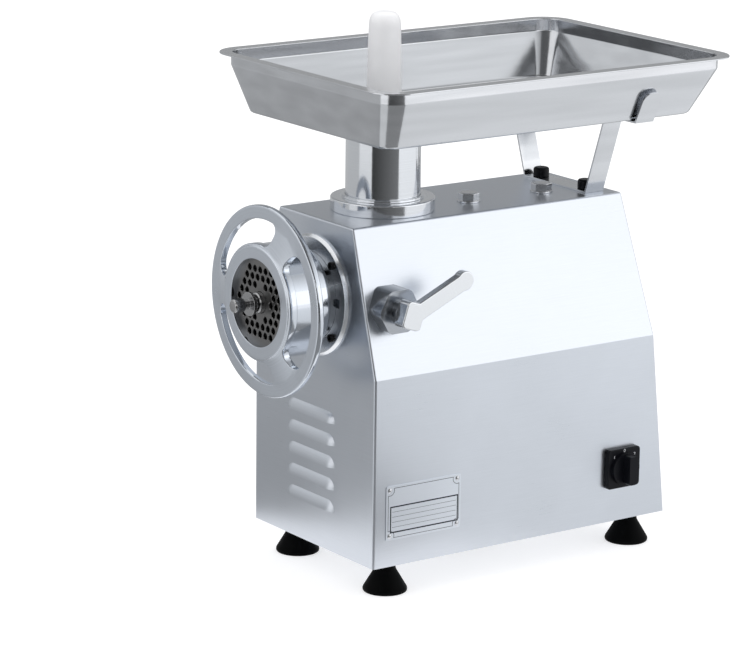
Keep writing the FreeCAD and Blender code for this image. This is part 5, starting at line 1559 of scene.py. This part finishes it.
@dataclass
class Controls(SubAssembly):
    """Switch with its marks, and the ruled nameplate with its rivets.

    The table is given by its distances from the plate's front and back, and of its ends from the top.
    """

    plate_edge: float = 1.2
    knob_edge: float = 1.0
    line_height: float = 0.06
    table_line: float = 1.35
    border_line: float = 0.55
    rule_line: float = 0.35
    rule_margin: float = 2.0
    border: float = 2.5
    notch: float = 5.5
    table: tuple[float, float, float, float] = (5.6, 4.0, 22.2, 48.9)
    rows: int = 5
    rivet_inset: float = 4.5
    rivet_head: Profile = (
        Turn(0, 0), Turn(1.5, -0.15, 0.6), Turn(2.6, -0.9, 0.4), Turn(2.6, -1.2), Turn(1.5, -1.2))
    mark_circle: float = 19.2
    mark_line: float = 0.6
    zero: tuple[float, float] = (0.95, 1.45)
    zero_steps: int = 15
    one: tuple[tuple[float, float], ...] = ((0.0, -1.6), (0.0, 1.6))
    two: tuple[tuple[float, float], ...] = (
        (-0.9, 0.9), (-0.5, 1.5), (0.4, 1.5), (0.9, 0.8), (0.4, -0.1), (-0.9, -1.5), (0.95, -1.5))

    def build(self) -> None:
        """Makes the pieces."""
        self.soften("switch_face", "switch_plate", self.plate_edge, Body.CABINET, Slot.BLACK_PLASTIC)
        self.soften("pointer", "switch_knob", self.knob_edge, Body.SWITCH, Slot.BLACK_PLASTIC)
        self.keep(self.make_marks(), Body.CABINET, Slot.BLACK_PLASTIC, finish=MARK_WHITE)
        low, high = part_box("nameplate")
        plate = PlateBox(low.y / MM, high.y / MM, low.z / MM, high.z / MM, high.x / MM)
        printed = (("plate_table", [self.table_path(plate)], self.table_line, True, PLATE_INK),
                   ("plate_border", [self.border_path(plate)], self.border_line, True, PALE_INK),
                   ("plate_rules", self.rule_paths(plate), self.rule_line, False, PALE_INK))
        for name, paths, width, closed, ink in printed:
            work = bmesh.new()
            for path in paths:
                ribbon(work, path, width, self.line_height, plate.face, closed)
            self.keep(object_from(name, work), Body.CABINET, Slot.NAMEPLATE, finish=ink)
        self.keep(self.make_rivets(plate), Body.CABINET, Slot.FASTENER, ["nameplate_rivets"])

    def table_path(self, plate: PlateBox) -> Line:
        """Thick frame of the empty table.

        Args:
            plate: Nameplate.

        Returns:
            The closed line.
        """
        left, right, upper, lower = self.table
        front = plate.front + left
        back = plate.back - right
        return [(front, plate.top - lower), (back, plate.top - lower), (back, plate.top - upper),
                (front, plate.top - upper)]

    def rule_paths(self, plate: PlateBox) -> list[Line]:
        """Thin rules of the empty table.

        Args:
            plate: Nameplate.

        Returns:
            The open lines.
        """
        left, right, upper, lower = self.table
        front = plate.front + left + self.rule_margin
        back = plate.back - right - self.rule_margin
        heights = [plate.top - upper - (lower - upper) * row / self.rows for row in range(1, self.rows)]
        return [[(front, z), (back, z)] for z in heights]

    def border_path(self, plate: PlateBox) -> Line:
        """Border that bends inwards round the rivets.

        Args:
            plate: Nameplate.

        Returns:
            The closed line.
        """
        dip = math.asin((self.rivet_inset - self.border) / self.notch)
        front = plate.front + self.rivet_inset
        back = plate.back - self.rivet_inset
        bottom = plate.bottom + self.rivet_inset
        top = plate.top - self.rivet_inset
        path: Line = []
        for quarter, (y, z) in enumerate(((front, bottom), (back, bottom), (back, top), (front, top))):
            for step in range(2 * ARC_STEPS + 1):
                turn = QUARTER * (quarter + 1) + dip - (QUARTER + 2 * dip) * step / (2 * ARC_STEPS)
                path.append((y + self.notch * math.cos(turn), z + self.notch * math.sin(turn)))
        return path

    def make_rivets(self, plate: PlateBox) -> bpy.types.Object:
        """Domed rivets in the nameplate's corners.

        Args:
            plate: Nameplate.

        Returns:
            The object.
        """
        low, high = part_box("nameplate_rivets")
        profile = with_shank(self.rivet_head, (low.x - high.x) / MM)
        rivet = turned("rivet", profile, Axis.X, ORIGIN, PIN_STEPS)
        inset = self.rivet_inset
        places = [Vector((high.x, y * MM, z * MM)) for y in (plate.front + inset, plate.back - inset)
                  for z in (plate.bottom + inset, plate.top - inset)]
        return self.fasten("plate_rivets", rivet, places, Slot.FASTENER)

    def make_marks(self) -> bpy.types.Object:
        """Marks 1, 0 and 2 of the three switch positions.

        Returns:
            The object.
        """
        low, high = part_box("switch_plate")
        middle = Vector(((low.y + high.y) / 2, (low.z + high.z) / 2)) / MM
        turns = [2 * math.pi * step / self.zero_steps for step in range(self.zero_steps)]
        ring = [(self.zero[0] * math.cos(turn), self.zero[1] * math.sin(turn)) for turn in turns]
        work = bmesh.new()
        for eighth, sign, closed in ((3, self.one, False), (2, ring, True), (1, self.two, False)):
            turn = QUARTER * eighth / 2
            at = middle + Vector((math.cos(turn), math.sin(turn))) * self.mark_circle
            path = [(at.x + y, at.y + z) for y, z in sign]
            ribbon(work, path, self.mark_line, self.line_height, high.x / MM, closed)
        return object_from("switch_marks", work)


# Studio

TONE = "tone"
WHITE = (1.0, 1.0, 1.0, 1.0)


@dataclass(frozen=True)
class Lamp:
    """Soft lamp that points at the middle of the machine."""

    name: str
    place: Triple
    size: tuple[float, float]
    radiance: float
    mirrored: bool

    def add(self, target: Vector) -> None:
        """Adds the lamp.

        Args:
            target: Point that it looks at.
        """
        data = bpy.data.lights.new(self.name, "AREA")
        data.shape = "RECTANGLE"
        data.size, data.size_y = self.size
        data.energy = self.radiance * math.pi * self.size[0] * self.size[1]
        lamp = bpy.data.objects.new(self.name, data)
        bpy.context.scene.collection.objects.link(lamp)
        place = Vector(self.place)
        lamp.location = place
        lamp.rotation_euler = (target - place).to_track_quat("-Z", "Y").to_euler()
        lamp.visible_camera = False
        lamp.visible_glossy = self.mirrored


@dataclass(frozen=True)
class Card:
    """Grey card out of frame that only mirrors see: a sector of a ring on the floor, a wall or a slope.

    The sector runs between two angles in degrees from +X about Z. The radii and heights, in metres, and the
    tones are those of its two edges. The swing is a factor on the tones that is reached at the sector's end.
    """

    name: str
    sector: tuple[float, float]
    radii: tuple[float, float]
    heights: tuple[float, float]
    tones: tuple[float, float]
    swing: float = 1.0
    steps: int = 40

    def add(self, material: bpy.types.Material) -> None:
        """Adds the card.

        Args:
            material: Glow that follows the tone of the card's points.
        """
        work = bmesh.new()
        layer = work.verts.layers.float.new(TONE)
        rows = []
        for step in range(self.steps + 1):
            share = step / self.steps
            turn = math.radians(self.sector[0] + (self.sector[1] - self.sector[0]) * share)
            gain = 1 + (self.swing - 1) * share
            row = []
            for radius, height, tone in zip(self.radii, self.heights, self.tones):
                point = work.verts.new((radius * math.cos(turn), radius * math.sin(turn), height))
                point[layer] = tone * gain
                row.append(point)
            rows.append(row)
        for first, second in zip(rows, rows[1:]):
            work.faces.new([first[0], first[1], second[1], second[0]])
        card = object_from(self.name, work)
        card.data.materials.append(material)
        card.visible_camera = False
        card.visible_diffuse = False
        card.visible_shadow = False
        card.visible_transmission = False


@dataclass
class Studio:
    """Pale floor, soft light, cards and the camera of the photograph, in metres and degrees."""

    middle: Triple = (0.0, 0.0, 0.29)
    lamps: tuple[Lamp, ...] = (
        Lamp("top_soft", (-0.2, 0.9, 2.4), (2.2, 2.2), 0.32, False),
        Lamp("right_soft", (2.08, 1.57, 0.8), (2.6, 1.1), 0.47, True),
    )
    cards: tuple[Card, ...] = (
        Card("left_floor", (143.0, 248.0), (0.30, 2.6), (0.004, 0.004), (0.36, 0.60)),
        Card("back_floor", (95.0, 143.0), (0.30, 2.6), (0.004, 0.004), (0.50, 0.50)),
        Card("right_floor", (9.0, 95.0), (0.20, 2.6), (0.004, 0.004), (0.84, 1.04)),
        Card("gap_floor", (248.0, 292.0), (0.30, 2.6), (0.004, 0.004), (0.74, 0.80)),
        Card("front_near", (288.0, 371.0), (0.25, 1.25), (0.006, 0.006), (0.30, 0.24)),
        Card("front_floor", (290.0, 371.0), (1.25, 2.6), (0.006, 0.006), (0.03, 0.03), 7.0),
        Card("front_wall", (290.0, 371.0), (2.59, 2.59), (0.0, 0.55), (0.10, 0.10)),
        Card("front_high_wall", (300.0, 345.0), (2.58, 2.58), (0.55, 1.3), (0.12, 0.12)),
        Card("left_wall", (92.0, 195.0), (2.6, 2.6), (0.0, 2.6), (0.56, 0.18)),
        Card("far_left_wall", (195.0, 250.0), (2.6, 2.6), (0.0, 2.6), (0.48, 0.95)),
        Card("right_sky", (5.0, 95.0), (2.7, 0.9), (1.45, 2.7), (1.28, 0.10)),
        Card("overhead", (0.0, 360.0), (0.01, 0.9), (2.75, 2.75), (0.12, 0.12)),
        Card("front_sky", (280.0, 365.0), (2.7, 0.9), (1.6, 2.7), (0.12, 0.12)),
    )
    card_colour: tuple[float, ...] = (0.97, 0.985, 1.0, 1.0)
    world_light: float = 1.05
    seen_light: float = 1.0
    floor_colour: tuple[float, ...] = (0.55, 0.55, 0.56, 1.0)
    floor_glow: float = 0.6
    floor_radius: float = 20.0
    floor_steps: int = 64
    azimuth: float = 54.76
    elevation: float = 14.01
    roll: float = 0.69
    eye: Triple = (2.86245, -2.11592, 1.12722)
    sensor: float = 36.0
    lens: float = 170.85
    sight: float = 100.0

    def build(self) -> None:
        """Makes the studio."""
        self.make_world()
        self.make_floor()
        for lamp in self.lamps:
            lamp.add(Vector(self.middle))
        glow = self.make_glow()
        for card in self.cards:
            card.add(glow)
        self.make_camera()
        bpy.context.scene.view_settings.view_transform = "Standard"

    def seen(self, wires: Wiring) -> bpy.types.NodeSocket:
        """Mask of the rays that show a background.

        Args:
            wires: Tree of the shader.

        Returns:
            1 for camera, mirror and see-through rays.
        """
        path = wires.node("ShaderNodeLightPath").outputs
        mirrored = wires.math("MAXIMUM", path["Is Glossy Ray"], path["Is Transmission Ray"])
        return wires.math("MAXIMUM", path["Is Camera Ray"], mirrored)

    def make_world(self) -> None:
        """White surroundings that light the object at a plain level."""
        world = bpy.data.worlds.new("studio")
        bpy.context.scene.world = world
        wires = emptied(world)
        strength = wires.vary(self.seen(wires), self.world_light, self.seen_light)
        glow = wires.node("ShaderNodeBackground", {"Color": WHITE, "Strength": strength})
        wires.node("ShaderNodeOutputWorld", {"Surface": glow.outputs[0]})

    def make_floor(self) -> None:
        """Pale floor that reads as white and keeps the shadow."""
        work = bmesh.new()
        bmesh.ops.create_circle(work, cap_ends=True, segments=self.floor_steps, radius=self.floor_radius)
        floor = object_from("floor", work)
        material = bpy.data.materials.new("floor")
        wires = emptied(material)
        matt = wires.node("ShaderNodeBsdfDiffuse", {"Color": self.floor_colour})
        strength = wires.math("MULTIPLY", self.seen(wires), self.floor_glow)
        glow = wires.node("ShaderNodeEmission", {"Color": WHITE, "Strength": strength})
        both = wires.node("ShaderNodeAddShader", {0: matt.outputs[0], 1: glow.outputs[0]})
        wires.node("ShaderNodeOutputMaterial", {"Surface": both.outputs[0]})
        floor.data.materials.append(material)

    def make_glow(self) -> bpy.types.Material:
        """Glow of the cards, which follows the tone of their points.

        Returns:
            The material.
        """
        material = bpy.data.materials.new("card_glow")
        wires = emptied(material)
        tone = wires.node("ShaderNodeAttribute", attribute_name=TONE).outputs["Fac"]
        glow = wires.node("ShaderNodeEmission", {"Color": self.card_colour, "Strength": tone})
        wires.node("ShaderNodeOutputMaterial", {"Surface": glow.outputs[0]})
        return material

    def make_camera(self) -> None:
        """Camera that matches the photograph's view."""
        azimuth = math.radians(self.azimuth)
        elevation = math.radians(self.elevation)
        roll = math.radians(self.roll)
        back = Vector((math.sin(azimuth) * math.cos(elevation), -math.cos(azimuth) * math.cos(elevation),
                       math.sin(elevation)))
        level = Vector((math.cos(azimuth), math.sin(azimuth), 0.0))
        upright = back.cross(level)
        right = level * math.cos(roll) + upright * math.sin(roll)
        up = upright * math.cos(roll) - level * math.sin(roll)
        data = bpy.data.cameras.new("camera")
        data.sensor_width = self.sensor
        data.lens = self.lens
        data.clip_end = self.sight
        camera = bpy.data.objects.new("camera", data)
        bpy.context.scene.collection.objects.link(camera)
        frame = Matrix((right, up, back)).transposed().to_4x4()
        frame.translation = Vector(self.eye)
        camera.matrix_world = frame
        bpy.context.scene.camera = camera


def main() -> None:
    """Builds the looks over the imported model."""
    logging.basicConfig(level=logging.INFO, format="%(name)s: %(message)s")
    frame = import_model()
    palette = Palette()
    repeats = Repeats()
    for subpart in frame["record"]["subparts"]:
        palette.dress_node(frame["nodes"][subpart["node"]], subpart["material_slot"])
    for kind in (Casing, Handwheel, GrindingHead, Clamp, Throat, Tray, Bracket, Controls):
        kind(palette, repeats).build()
    Studio().build()


if __name__ == "__main__":
    main()
